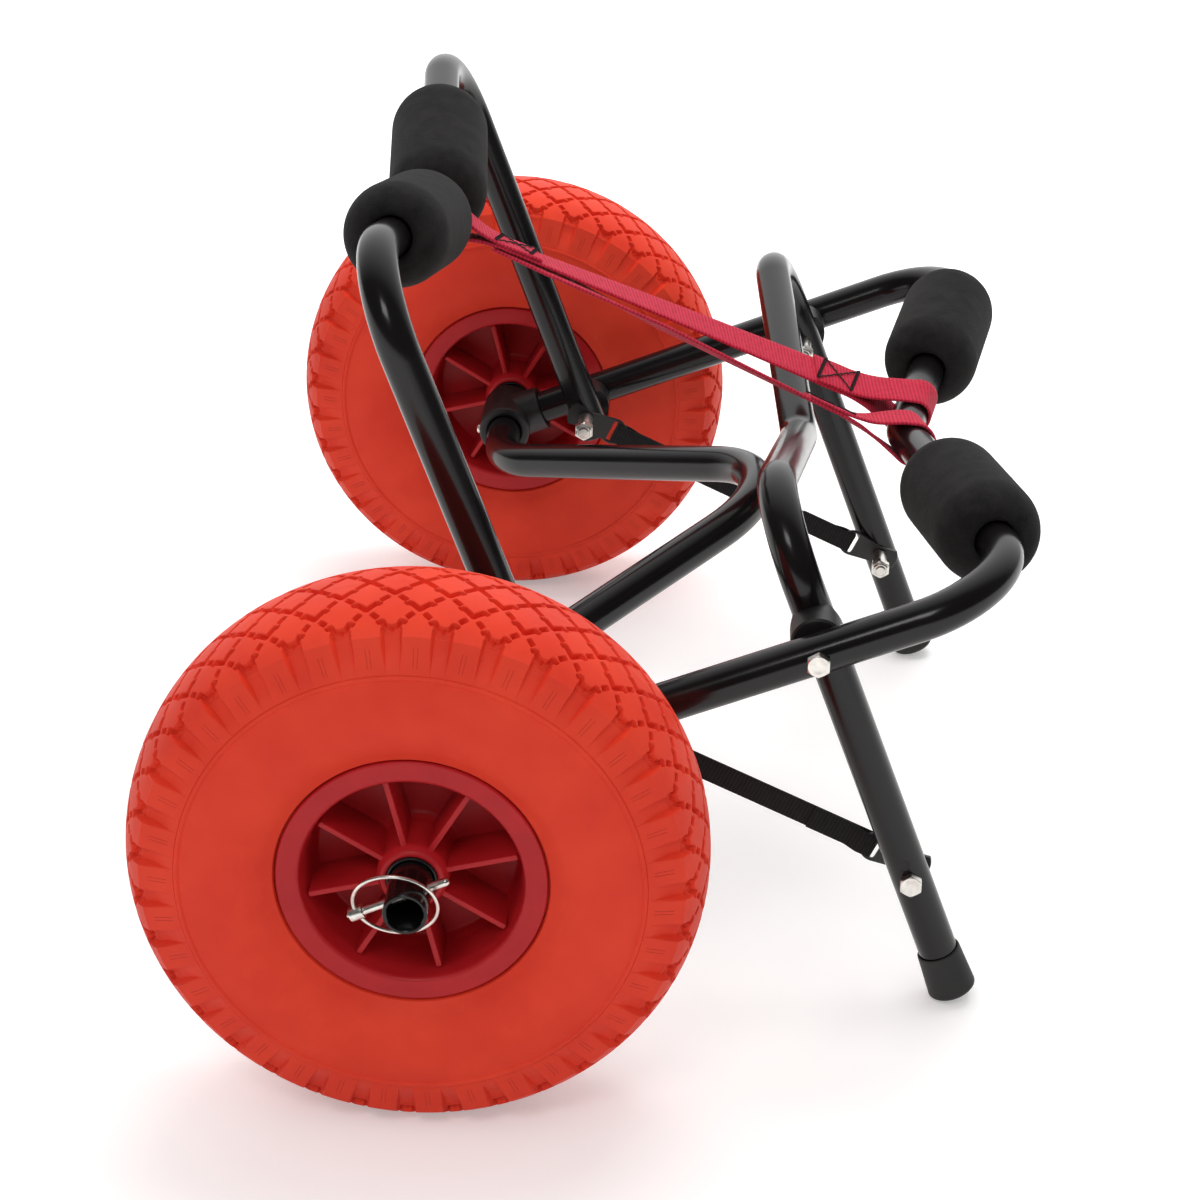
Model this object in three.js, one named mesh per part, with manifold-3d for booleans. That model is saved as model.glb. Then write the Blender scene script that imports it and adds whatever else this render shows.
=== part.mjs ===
// Two-wheeled folding cart for carrying a small boat.
// Millimetres, +Z up. +Y runs along the axle to the cart's left, +X runs from the axle to the
// kickstand feet. Every frame is a bent steel tube.
import * as THREE from 'three';
import { mergeVertices } from 'three/addons/utils/BufferGeometryUtils.js';
import Module from 'manifold-3d';

const wasm = await Module();
wasm.setup();

// General clearances
const gap = 0.3;
const overrun = 4;
const merge_tolerance = 0.0001;

// Facets round each kind of piece
const wheel_facets = 36;
const tube_facets = 12;
const bore_facets = 8;
const small_facets = 12;
const pad_facets = 16;
const bend_step = THREE.MathUtils.degToRad(18);

// Wheels
const wheel_r = 130;
const wheel_half_width = 42.5;
const tyre_bore_r = 53;
const flange_r = 60;
const flange_opening_r = 49.3;
const flange_t = 3;
const rim_half_width = 33;
const web_t = 4;
const web_wall_r = 46.5;
const hub_r = 15.4;
const hub_half_width = 30.5;
const rib_t = 2.6;
const rib_half_width = 27;
const rib_count = 8;
const rib_turn = THREE.MathUtils.degToRad(-13.9);
// Each pair is the share of the way from the rim flange out to the tread, and the share of the
// half width: up the side wall, at the shoulder's edge, and across the tread to its middle.
const side_wall_shares = [
  [0.114, 0.894], [0.3, 0.984], [0.5, 1], [0.66, 0.965],
];
const shoulder_shares = [0.836, 0.84];
const tread_shares = [
  [0.89, 0.752], [0.957, 0.494], [1, 0.14],
];
// Lugs round both shoulders, with valleys between them that run out on the wall and the tread
const lug_count = 35;
const lug_turn = THREE.MathUtils.degToRad(1.76);
const valley_w = 8.4;
const valley_wall_w = 1;
const valley_depth = 2.7;
const bush_r = 11.2;
const bush_length = 22;
const bush_stand_out = 0.5;

// Axle, one bent tube
const axle_r = 9.74;
const axle_wall = 1.75;
const axle_overhang = 59.6;
const elbow_inset = 31.2;
const apex_reach = 179.5;
const apex_rise = 69.7;
const axle_bend_r = 59;

// The three frames
const tube_r = 9.53;
const tube_wall = 1.6;
const inner_half_span = 191.2;
const spacer_t = 14.14;
const wheel_offset = 64;
const front_slope = THREE.MathUtils.degToRad(21.9);
const front_start = 12;
const front_overhang = 101.25;
const front_vee = 49.4;
const front_corner_bend_r = 43;
const vertex_bend_r = 25;
const rear_pivot_reach = 53.7;
const rear_angle = THREE.MathUtils.degToRad(110.65);
const rear_corner = 237.2;
const rear_vertex = 194;
const rear_corner_bend_r = 41;
const rear_tail = 15;
const stand_pivot_reach = 189.15;
const stand_angle = THREE.MathUtils.degToRad(111.15);
const stand_corner = 67.4;
const stand_vertex = 16.5;
const stand_corner_bend_r = 38;
const stand_leg = 210.5;
const strap_bolt_drop = 141.7;
const spare_hole_rise = 9.6;
const spare_hole_r = 2.9;

// Axle fittings
const fitting_r = 15;
const fitting_length = 40;
const socket_r = 13;
const socket_end = 23.5;
const fitting_screw_offset = 16;
const screw_r = 1.5;
const screw_head_r = 2.7;
const screw_head_h = 1.7;

// Pivot hardware
const bolt_r = 3;
const hex_r = 5.78;
const bolt_head_h = 4;
const nut_h = 4.4;
const nut_collar_r = 4.3;
const nut_collar_h = 1.6;
const sleeve_r = 4.35;
const sleeve_length = 15;
const bolt_tip = 1;
const spacer_r = 12.5;
const spacer_lip = 7;

// Kickstand straps and their brackets
const bracket_t = 2;
const bracket_r = 11;
const bracket_reach = 18;
const bracket_end_r = 8;
const bracket_round_steps = 10;
const slot_w = 4;
const slot_length = 13;
const side_strap_w = 12;
const side_strap_t = 1.3;
const side_strap_sewn = 22;

// Cradle straps
const cradle_strap_w = 25;
const cradle_strap_t = 1.7;
const rear_loop_y = -14;
const front_loop_left_y = 28.5;
const front_loop_right_y = -9.5;
const right_strap_drop = 1;
const vertex_slack = 1.9;
const twist_steps = 6;
const wrap_steps = 14;

// Foam pads, by the distance of each end from the middle plane
const pad_r = 25.3;
const pad_end_r = 13;
const pad_mouth_r = 12;
const pad_mouth_depth = 8;
const front_pad_near = 73.5;
const pad_span = 95.5;
const rear_left_pad_start = 4.6;
const rear_right_pad_start = -123.5;

// Rubber feet
const foot_r = 11.9;
const foot_top_r = 10.4;
const foot_length = 24;
const foot_sole = 4;
const foot_edge = 1.6;
const sole_drop = 0.55;

// Linch pins and their rings
const pin_inset = 17;
const pin_r = 1.95;
const pin_tilt = THREE.MathUtils.degToRad(24);
const pin_tail = 19.3;
const pin_head_reach = 24.9;
const pin_head_r = 3.25;
const pin_head_length = 6.5;
const pin_nub_r = 1.6;
const pin_nub_length = 1.6;
const ring_r = 18.6;
const ring_wire_r = 0.9;
const ring_end_depth = 1.6;
const ring_lean = THREE.MathUtils.degToRad(17);
const ring_open = THREE.MathUtils.degToRad(9.7);
const ring_steps = 24;
const ring_facets = 6;

// Stations along the axle and along the front arms that follow from the sizes above
const front_half_span = inner_half_span + 2 * tube_r + spacer_t;
const wheel_station = front_half_span + wheel_offset;
const axle_end = wheel_station + axle_overhang;
const elbow_station = inner_half_span - elbow_inset;
const pin_station = axle_end - pin_inset;
const front_corner = stand_pivot_reach + front_overhang;
const front_vertex = front_corner - front_vee;

// Colours and finishes
const black_gloss = { color: 0x121212, roughness: 0.28, metalness: 0.1 };
const black_satin = { color: 0x1a1a1a, roughness: 0.5, metalness: 0.05 };
const black_rubber = { color: 0x202020, roughness: 0.85, metalness: 0 };
const grey_foam = { color: 0x333334, roughness: 0.95, metalness: 0 };
const bright_zinc = { color: 0xc9c9cc, roughness: 0.3, metalness: 1 };
const tyre_orange = { color: 0xe0402c, roughness: 0.6, metalness: 0 };
const rim_red = { color: 0xb81d22, roughness: 0.42, metalness: 0 };
const crimson_web = { color: 0xa8142a, roughness: 0.8, metalness: 0 };
const black_web = { color: 0x181818, roughness: 0.85, metalness: 0 };

// Geometry helpers

function signed_volume(geometry) {
  const p = geometry.attributes.position;
  const index = geometry.index;
  const a = new THREE.Vector3();
  const b = new THREE.Vector3();
  const c = new THREE.Vector3();
  let sum = 0;
  for (let i = 0; i < index.count; i += 3) {
    a.fromBufferAttribute(p, index.getX(i));
    b.fromBufferAttribute(p, index.getX(i + 1));
    c.fromBufferAttribute(p, index.getX(i + 2));
    sum += a.dot(b.cross(c)) / 6;
  }
  return sum;
}

// One closed surface with shared vertices, no slivers and its faces pointing out.
function closed(raw) {
  const bare = raw.clone();
  bare.deleteAttribute('normal');
  bare.deleteAttribute('uv');
  const merged = mergeVertices(bare, merge_tolerance);
  const old = merged.index;
  const kept = [];
  for (let i = 0; i < old.count; i += 3) {
    const t = [old.getX(i), old.getX(i + 1), old.getX(i + 2)];
    if (t[0] !== t[1] && t[1] !== t[2] && t[2] !== t[0]) {
      kept.push(...t);
    }
  }
  merged.setIndex(kept);
  if (signed_volume(merged) < 0) {
    for (let i = 0; i < kept.length; i += 3) {
      [kept[i], kept[i + 1]] = [kept[i + 1], kept[i]];
    }
    merged.setIndex(kept);
  }
  return merged;
}

function to_solid(geometry) {
  const g = closed(geometry);
  return new wasm.Manifold(new wasm.Mesh({
    numProp: 3,
    vertProperties: new Float32Array(g.attributes.position.array),
    triVerts: new Uint32Array(g.index.array),
  }));
}

function from_solid(solid) {
  const m = solid.getMesh();
  const g = new THREE.BufferGeometry();
  g.setAttribute('position', new THREE.BufferAttribute(new Float32Array(m.vertProperties), 3));
  g.setIndex(Array.from(m.triVerts));
  return g;
}

function cut(geometry, tools) {
  let solid = to_solid(geometry);
  for (const tool of tools) {
    solid = solid.subtract(to_solid(tool));
  }
  return from_solid(solid);
}

function joined(pieces) {
  let solid = to_solid(pieces[0]);
  for (const piece of pieces.slice(1)) {
    solid = solid.add(to_solid(piece));
  }
  return from_solid(solid);
}

// A profile of [radius, height] points turned about Y.
function turned(profile, facets) {
  const points = profile.map(([r, h]) => new THREE.Vector2(r, h));
  points.push(points[0].clone());
  return closed(new THREE.LatheGeometry(points, facets));
}

// A rod along Y between two heights, with its facets' flats at least r from the axis.
function rod(r, from, to, facets) {
  const g = new THREE.CylinderGeometry(r, r, to - from, facets);
  g.translate(0, (from + to) / 2, 0);
  return g;
}

// A rod that clears a round one of radius r, whatever the facets.
function drill(r, from, to, facets) {
  return rod(r / Math.cos(Math.PI / facets), from, to, facets);
}

function circle_points(r, facets) {
  const points = [];
  for (let i = 0; i < facets; i += 1) {
    const a = ((i + 1 / 2) * 2 * Math.PI) / facets;
    points.push(new THREE.Vector2(r * Math.cos(a), r * Math.sin(a)));
  }
  return points;
}

// A flat outline with its holes, run the way round that the extrusions need.
function outlined(points, holes) {
  const ordered = THREE.ShapeUtils.area(points) < 0 ? points.slice().reverse() : points;
  const shape = new THREE.Shape(ordered);
  for (const hole of holes) {
    shape.holes.push(new THREE.Path(hole));
  }
  return shape;
}

// A path of straight runs and round bends, given as its stations with their exact tangents.
class BentPath extends THREE.Curve {
  constructor(corners, radii) {
    super();
    this.stations = [];
    const last = corners.length - 1;
    const first_way = corners[1].clone().sub(corners[0]).normalize();
    this.stations.push({ at: corners[0].clone(), way: first_way });
    for (let i = 1; i < last; i += 1) {
      const into = corners[i].clone().sub(corners[i - 1]).normalize();
      const out = corners[i + 1].clone().sub(corners[i]).normalize();
      const turn = into.angleTo(out);
      const r = radii[i - 1];
      const start = corners[i].clone().addScaledVector(into, -r * Math.tan(turn / 2));
      const side = out.clone().addScaledVector(into, -out.dot(into)).normalize();
      const steps = Math.max(1, Math.ceil(turn / bend_step));
      for (let k = 0; k <= steps; k += 1) {
        const a = (turn * k) / steps;
        const at = start.clone().addScaledVector(into, r * Math.sin(a));
        at.addScaledVector(side, r * (1 - Math.cos(a)));
        const way = into.clone().multiplyScalar(Math.cos(a)).addScaledVector(side, Math.sin(a));
        this.stations.push({ at, way: way.normalize() });
      }
    }
    const last_way = corners[last].clone().sub(corners[last - 1]).normalize();
    this.stations.push({ at: corners[last].clone(), way: last_way });
  }

  station(u) {
    return this.stations[Math.round(u * (this.stations.length - 1))];
  }

  getPointAt(u, target = new THREE.Vector3()) {
    return target.copy(this.station(u).at);
  }

  getPoint(u, target = new THREE.Vector3()) {
    return target.copy(this.station(u).at);
  }

  getTangentAt(u, target = new THREE.Vector3()) {
    return target.copy(this.station(u).way);
  }
}

function bent_tube(corners, radii, r, wall) {
  const path = new BentPath(corners, radii);
  const outline = outlined(circle_points(r, tube_facets), [circle_points(r - wall, bore_facets)]);
  return closed(new THREE.ExtrudeGeometry(outline, {
    steps: path.stations.length - 1,
    extrudePath: path,
    bevelEnabled: false,
  }));
}

// A surface through equal sections, closed by a flat cap at each end.
function lofted(sections) {
  const n = sections[0].length;
  const position = [];
  const index = [];
  for (const section of sections) {
    for (const p of section) {
      position.push(p.x, p.y, p.z);
    }
  }
  for (let s = 0; s + 1 < sections.length; s += 1) {
    for (let i = 0; i < n; i += 1) {
      const a = s * n + i;
      const b = s * n + ((i + 1) % n);
      index.push(a, b, b + n, a, b + n, a + n);
    }
  }
  const end = (sections.length - 1) * n;
  for (let i = 1; i + 1 < n; i += 1) {
    index.push(0, i + 1, i, end, end + i, end + i + 1);
  }
  const g = new THREE.BufferGeometry();
  g.setAttribute('position', new THREE.BufferAttribute(new Float32Array(position), 3));
  g.setIndex(index);
  return closed(g);
}

const cart = new THREE.Group();

function add(parent, name, geometry, look, place) {
  const mesh = new THREE.Mesh(geometry, new THREE.MeshStandardMaterial(look));
  mesh.name = name;
  if (place) {
    place(mesh);
  }
  parent.add(mesh);
  return mesh;
}

const sides = [['left', 1], ['right', -1]];
const across = (x, y) => new THREE.Vector3(x, y, 0);

// Places that the pieces share. Each frame's own X runs up its arms and its own Y along the axle.
const axle_height = wheel_r;
const front_way = new THREE.Vector3(Math.cos(front_slope), 0, Math.sin(front_slope));
const axle_centre = new THREE.Vector3(0, 0, axle_height);
const rear_pivot = axle_centre.clone().addScaledVector(front_way, rear_pivot_reach);
const stand_pivot = axle_centre.clone().addScaledVector(front_way, stand_pivot_reach);
const rear_way = new THREE.Vector3(Math.cos(rear_angle), 0, Math.sin(rear_angle));
const stand_way = new THREE.Vector3(Math.cos(stand_angle), 0, Math.sin(stand_angle));
const strap_bolt_at = stand_pivot.clone().addScaledVector(stand_way, -strap_bolt_drop);

// Distances from the middle plane of the pieces on each pivot bolt
const front_outside = front_half_span + tube_r + gap;
const front_inside = front_half_span - tube_r - gap;
const inner_outside = inner_half_span + tube_r + gap;
const inner_inside = inner_half_span - tube_r - gap;
const bracket_inside = inner_inside - bracket_t;
const bolt_hole_r = bolt_r + gap;

// Groups: one for each frame, laid along its arms
const front_group = new THREE.Group();
front_group.position.copy(axle_centre);
front_group.rotation.y = -front_slope;
const rear_group = new THREE.Group();
rear_group.position.copy(rear_pivot);
rear_group.rotation.y = -rear_angle;
const stand_group = new THREE.Group();
stand_group.position.copy(stand_pivot);
stand_group.rotation.y = -stand_angle;
const axle_group = new THREE.Group();
axle_group.position.copy(axle_centre);
cart.add(front_group, rear_group, stand_group, axle_group);

// Cradle and kickstand frames: two arms and a shallow V across their tops
function frame_tube(start, corner, vertex, half_span, corner_r) {
  const corners = [
    across(start, -half_span),
    across(corner, -half_span),
    across(vertex, 0),
    across(corner, half_span),
    across(start, half_span),
  ];
  return bent_tube(corners, [corner_r, vertex_bend_r, corner_r], tube_r, tube_wall);
}

function bolt_holes(half_span, places) {
  return places.map((x) => {
    const reach = half_span + tube_r + overrun;
    const tool = drill(bolt_hole_r, -reach, reach, small_facets);
    tool.translate(x, 0, 0);
    return tool;
  });
}

const front_tube = frame_tube(front_start, front_corner, front_vertex, front_half_span, front_corner_bend_r);
const front_holes = bolt_holes(front_half_span, [rear_pivot_reach, stand_pivot_reach]);
add(front_group, 'front_cradle_frame', cut(front_tube, front_holes), black_gloss);

const rear_tube = frame_tube(-rear_tail, rear_corner, rear_vertex, inner_half_span, rear_corner_bend_r);
add(rear_group, 'rear_cradle_frame', cut(rear_tube, bolt_holes(inner_half_span, [0])), black_gloss);

const leg_end = stand_leg - foot_sole - gap + sole_drop;
const stand_tube = frame_tube(-leg_end, stand_corner, stand_vertex, inner_half_span, stand_corner_bend_r);
const stand_holes = bolt_holes(inner_half_span, [0, -strap_bolt_drop]);
for (const [, way] of sides) {
  const outer = way * (inner_half_span + tube_r + overrun);
  const middle = way * inner_half_span;
  const tool = drill(spare_hole_r, Math.min(outer, middle), Math.max(outer, middle), small_facets);
  tool.translate(spare_hole_rise - strap_bolt_drop, 0, 0);
  stand_holes.push(tool);
}
add(stand_group, 'kickstand_frame', cut(stand_tube, stand_holes), black_gloss);

// Axle: straight stubs for the wheels, joined by a V that lies close to the front frame
const axle_corners = [
  new THREE.Vector3(0, -axle_end, 0),
  new THREE.Vector3(0, -elbow_station, 0),
  new THREE.Vector3(apex_reach, 0, apex_rise),
  new THREE.Vector3(0, elbow_station, 0),
  new THREE.Vector3(0, axle_end, 0),
];
const axle_tube = bent_tube(axle_corners, [axle_bend_r, axle_bend_r, axle_bend_r], axle_r, axle_wall);
const axle_holes = [];
for (const [, way] of sides) {
  const pin_hole = drill(pin_r + gap, -axle_r - overrun, axle_r + overrun, small_facets);
  pin_hole.rotateZ(-Math.PI / 2);
  pin_hole.rotateY(-pin_tilt);
  pin_hole.translate(0, way * pin_station, 0);
  const screw_hole = drill(screw_r + gap, 0, axle_r + overrun, small_facets);
  screw_hole.rotateZ(Math.PI / 2);
  screw_hole.translate(0, way * (front_half_span - fitting_screw_offset), 0);
  axle_holes.push(pin_hole, screw_hole);
}
add(axle_group, 'axle', cut(axle_tube, axle_holes), black_gloss);

// Fittings that hold the front frame's arms to the axle, each with a locking screw behind
for (const [side, way] of sides) {
  const half = fitting_length / 2;
  const socket = rod(socket_r, 0, socket_end, tube_facets);
  socket.rotateZ(-Math.PI / 2);
  socket.rotateY(-front_slope);
  const outer = joined([rod(fitting_r, -half, half, 2 * tube_facets), socket]);
  const axle_bore = drill(axle_r + gap, -half - overrun, half + overrun, tube_facets);
  const arm_bore = drill(tube_r + gap, front_start - gap, socket_end + overrun, tube_facets);
  arm_bore.rotateZ(-Math.PI / 2);
  arm_bore.rotateY(-front_slope);
  const screw_bore = drill(screw_r + gap, 0, fitting_r + overrun, small_facets);
  screw_bore.rotateZ(Math.PI / 2);
  screw_bore.translate(0, -way * fitting_screw_offset, 0);
  const body = cut(outer, [axle_bore, arm_bore, screw_bore]);
  add(axle_group, `${side}_axle_fitting`, body, black_satin, (m) => {
    m.position.y = way * front_half_span;
  });
  const seat = fitting_r + gap;
  const screw_in = axle_r - axle_wall - screw_r;
  const screw = turned([
    [0, screw_in],
    [screw_r, screw_in],
    [screw_r, seat],
    [screw_head_r, seat],
    [screw_head_r * 0.92, seat + screw_head_h * 0.7],
    [screw_head_r * 0.5, seat + screw_head_h],
    [0, seat + screw_head_h],
  ], small_facets);
  add(axle_group, `${side}_fitting_screw`, screw, bright_zinc, (m) => {
    m.rotation.z = Math.PI / 2;
    m.position.y = way * (front_half_span - fitting_screw_offset);
  });
}

// Wheels: solid tyre on a one-piece rim with a web, a hub and ribs on both sides
const seat_half = rim_half_width - flange_t - gap;
const from_shares = ([r, w]) => [flange_r + (wheel_r - flange_r) * r, wheel_half_width * w];
const side_wall = side_wall_shares.map(from_shares);
const shoulder = from_shares(shoulder_shares);
const tread = tread_shares.map(from_shares);
const inner_tyre = [
  [tyre_bore_r, seat_half],
  [flange_r + gap, seat_half],
  [flange_r + gap, rim_half_width],
  ...side_wall,
];
const shoulder_run = new THREE.Vector2(...tread[0])
  .sub(new THREE.Vector2(...side_wall[side_wall.length - 1])).normalize();
const valley_floor = [
  shoulder[0] + valley_depth * shoulder_run.y, shoulder[1] - valley_depth * shoulder_run.x,
];

// A ring of points round Y at one radius and height.
function ring_row([r, h]) {
  return Array.from({ length: wheel_facets }, (_, i) => ({ a: (2 * Math.PI * i) / wheel_facets, r, h }));
}

// The shoulder's edge: full height along each lug, and sunk along each valley.
function lug_row(face) {
  const pitch = (2 * Math.PI) / lug_count;
  const half_floor = (valley_w - valley_wall_w) / 2 / shoulder[0];
  const half_mouth = (valley_w + valley_wall_w) / 2 / shoulder[0];
  const row = [];
  for (let k = 0; k < lug_count; k += 1) {
    const valley = lug_turn + pitch * (k + 1 / 2);
    row.push({ a: valley - half_mouth, r: shoulder[0], h: face * shoulder[1] });
    row.push({ a: valley - half_floor, r: valley_floor[0], h: face * valley_floor[1] });
    row.push({ a: valley + half_floor, r: valley_floor[0], h: face * valley_floor[1] });
    row.push({ a: valley + half_mouth, r: shoulder[0], h: face * shoulder[1] });
  }
  return row;
}

// Rings of points round Y joined into one closed surface, also where they differ in number: the
// strip between two of them steps to whichever next point comes first on the way round.
function banded(rows) {
  const starts = [];
  const points = [];
  for (const row of rows) {
    starts.push(points.length / 3);
    for (const { a, r, h } of row) {
      points.push(r * Math.sin(a), h, r * Math.cos(a));
    }
  }
  const angle = (row, i) => row[i % row.length].a + 2 * Math.PI * Math.floor(i / row.length);
  const index = [];
  rows.forEach((near, n) => {
    const m = (n + 1) % rows.length;
    const far = rows[m];
    const near_at = (i) => starts[n] + (i % near.length);
    const far_at = (j) => starts[m] + (j % far.length);
    let i = 0;
    let j = 0;
    while (i < near.length || j < far.length) {
      if (j === far.length || (i < near.length && angle(near, i + 1) <= angle(far, j + 1))) {
        index.push(near_at(i), near_at(i + 1), far_at(j));
        i += 1;
      } else {
        index.push(near_at(i), far_at(j + 1), far_at(j));
        j += 1;
      }
    }
  });
  const g = new THREE.BufferGeometry();
  g.setAttribute('position', new THREE.Float32BufferAttribute(points, 3));
  g.setIndex(index);
  return closed(g);
}

const tyre_rows = (face) => [
  ...inner_tyre.map(([r, h]) => ring_row([r, face * h])),
  lug_row(face),
  ...tread.map(([r, h]) => ring_row([r, face * h])),
];
const tyre_body = banded([...tyre_rows(1), ...tyre_rows(-1).reverse()]);
const rim_seat_r = tyre_bore_r - gap;
const flange_inside = rim_half_width - flange_t;
const half_rim = [
  [bush_r + gap, hub_half_width],
  [hub_r, hub_half_width],
  [hub_r, web_t / 2],
  [web_wall_r, web_t / 2],
  [flange_opening_r, rim_half_width],
  [flange_r, rim_half_width],
  [flange_r, flange_inside],
  [rim_seat_r, flange_inside],
];
const rim_profile = [...half_rim, ...half_rim.map(([r, w]) => [r, -w]).reverse()];
const rim_blank = turned(rim_profile, wheel_facets);
const ribs = [];
const rib_inner = (bush_r + gap + hub_r) / 2;
const rib_outer = (web_wall_r + rim_seat_r) / 2;
for (let k = 0; k < rib_count; k += 1) {
  const rib = new THREE.BoxGeometry(rib_t, 2 * rib_half_width, rib_outer - rib_inner);
  rib.translate(0, 0, (rib_outer + rib_inner) / 2);
  rib.rotateY(rib_turn + (2 * Math.PI * k) / rib_count);
  ribs.push(rib);
}
const rim_body = joined([rim_blank, ...ribs]);
const bush_body = turned([
  [axle_r + gap, 0],
  [bush_r, 0],
  [bush_r, bush_length],
  [axle_r + gap, bush_length],
], pad_facets);

for (const [name, way] of sides) {
  const wheel_group = new THREE.Group();
  wheel_group.position.set(0, way * wheel_station, axle_height);
  cart.add(wheel_group);
  add(wheel_group, `${name}_tyre`, tyre_body.clone(), tyre_orange);
  add(wheel_group, `${name}_rim`, rim_body.clone(), rim_red);
  const bush_end = hub_half_width + bush_stand_out;
  for (const [place, face] of [['outer', way], ['inner', -way]]) {
    add(wheel_group, `${name}_${place}_bush`, bush_body.clone(), black_satin, (m) => {
      m.position.y = face > 0 ? bush_end - bush_length : -bush_end;
    });
  }
}

// Pivot bolts, sleeves, lock nuts and spacers. Each is built along Y, pointing out on the left.
function bolt(outside, tip) {
  const shank = rod(bolt_r, tip, outside + bolt_head_h / 2, small_facets);
  const head = rod(hex_r, outside, outside + bolt_head_h, 6);
  return joined([shank, head]);
}

function lock_nut(outer_end) {
  const hex_in = outer_end - nut_h;
  const hex = rod(hex_r, hex_in, outer_end, 6);
  const collar = rod(nut_collar_r, hex_in - nut_collar_h, hex_in + nut_h / 2, small_facets);
  const bore = drill(bolt_hole_r, hex_in - nut_collar_h - overrun, outer_end + overrun, small_facets);
  return cut(joined([hex, collar]), [bore]);
}

function sleeve(outer_end) {
  return turned([
    [bolt_hole_r, outer_end - sleeve_length],
    [sleeve_r, outer_end - sleeve_length],
    [sleeve_r, outer_end],
    [bolt_hole_r, outer_end],
  ], small_facets);
}

// A spacer's inner end is hollowed to sit on the round tube that it turns with.
function spacer() {
  const inner_end = inner_half_span + tube_r - spacer_lip;
  const blank = turned([
    [bolt_hole_r, inner_end],
    [spacer_r, inner_end],
    [spacer_r, front_inside],
    [bolt_hole_r, front_inside],
  ], pad_facets);
  const saddle = drill(tube_r + gap, -spacer_r - overrun, spacer_r + overrun, tube_facets);
  saddle.rotateZ(-Math.PI / 2);
  saddle.translate(0, inner_half_span, 0);
  return cut(blank, [saddle]);
}

// The right side's pieces are the left side's turned half round about the frame's own X.
function pair(parent, label, geometry, look, x) {
  for (const [name, way] of sides) {
    add(parent, `${name}_${label}`, geometry.clone(), look, (m) => {
      m.position.x = x;
      m.rotation.x = way > 0 ? 0 : Math.PI;
    });
  }
}

const with_bracket = bracket_inside - gap;
const without_bracket = inner_inside;

function hardware(parent, label, x, outside, sleeve_end) {
  const nut_end = sleeve_end - sleeve_length - gap;
  const tip = nut_end - nut_h - nut_collar_h - bolt_tip;
  pair(parent, `${label}_bolt`, bolt(outside, tip), bright_zinc, x);
  pair(parent, `${label}_sleeve`, sleeve(sleeve_end), bright_zinc, x);
  pair(parent, `${label}_nut`, lock_nut(nut_end), bright_zinc, x);
}

hardware(front_group, 'rear_pivot', rear_pivot_reach, front_outside, with_bracket);
hardware(front_group, 'stand_pivot', stand_pivot_reach, front_outside, without_bracket);
hardware(stand_group, 'strap', -strap_bolt_drop, inner_outside, with_bracket);
pair(rear_group, 'rear_pivot_spacer', spacer(), black_satin, 0);
pair(stand_group, 'stand_pivot_spacer', spacer(), black_satin, 0);

// Strap brackets: flat drop-shaped plates, each slotted toward the other end of its strap.
// The strap's own X runs from the rear pivot bolt to the kickstand's lower bolt.
const strap_run = strap_bolt_at.clone().sub(rear_pivot);
const strap_length = strap_run.length();
const strap_angle = Math.atan2(strap_run.z, strap_run.x);

function drop_outline() {
  const points = [];
  const lean = Math.asin((bracket_r - bracket_end_r) / bracket_reach);
  const big_from = Math.PI / 2 - lean;
  const big_span = Math.PI + 2 * lean;
  for (let i = 0; i <= bracket_round_steps; i += 1) {
    const a = big_from + (big_span * i) / bracket_round_steps;
    points.push(new THREE.Vector2(bracket_r * Math.cos(a), bracket_r * Math.sin(a)));
  }
  const small_span = Math.PI - 2 * lean;
  for (let i = 0; i <= bracket_round_steps; i += 1) {
    const a = -big_from + (small_span * i) / bracket_round_steps;
    const x = bracket_reach + bracket_end_r * Math.cos(a);
    points.push(new THREE.Vector2(x, bracket_end_r * Math.sin(a)));
  }
  return points;
}

const slot_half = slot_w / 2;
const slot_reach = slot_length / 2;
const bracket_shape = outlined(drop_outline(), [
  circle_points(bolt_hole_r / Math.cos(Math.PI / small_facets), small_facets),
  [
    new THREE.Vector2(bracket_reach - slot_half, -slot_reach),
    new THREE.Vector2(bracket_reach + slot_half, -slot_reach),
    new THREE.Vector2(bracket_reach + slot_half, slot_reach),
    new THREE.Vector2(bracket_reach - slot_half, slot_reach),
  ],
]);
const bracket_plate = closed(new THREE.ExtrudeGeometry(bracket_shape, {
  depth: bracket_t,
  bevelEnabled: false,
}));
bracket_plate.rotateX(Math.PI / 2);
bracket_plate.translate(0, bracket_t, 0);

const strap_group = new THREE.Group();
strap_group.position.copy(rear_pivot);
strap_group.rotation.y = -strap_angle;
cart.add(strap_group);

for (const [name, way] of sides) {
  const plate_y = way > 0 ? bracket_inside : -inner_inside;
  add(strap_group, `${name}_rear_strap_bracket`, bracket_plate.clone(), black_satin, (m) => {
    m.position.y = plate_y;
  });
  add(strap_group, `${name}_stand_strap_bracket`, bracket_plate.clone(), black_satin, (m) => {
    m.position.set(strap_length, way > 0 ? inner_inside : -bracket_inside, 0);
    m.rotation.z = Math.PI;
  });
}

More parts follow.
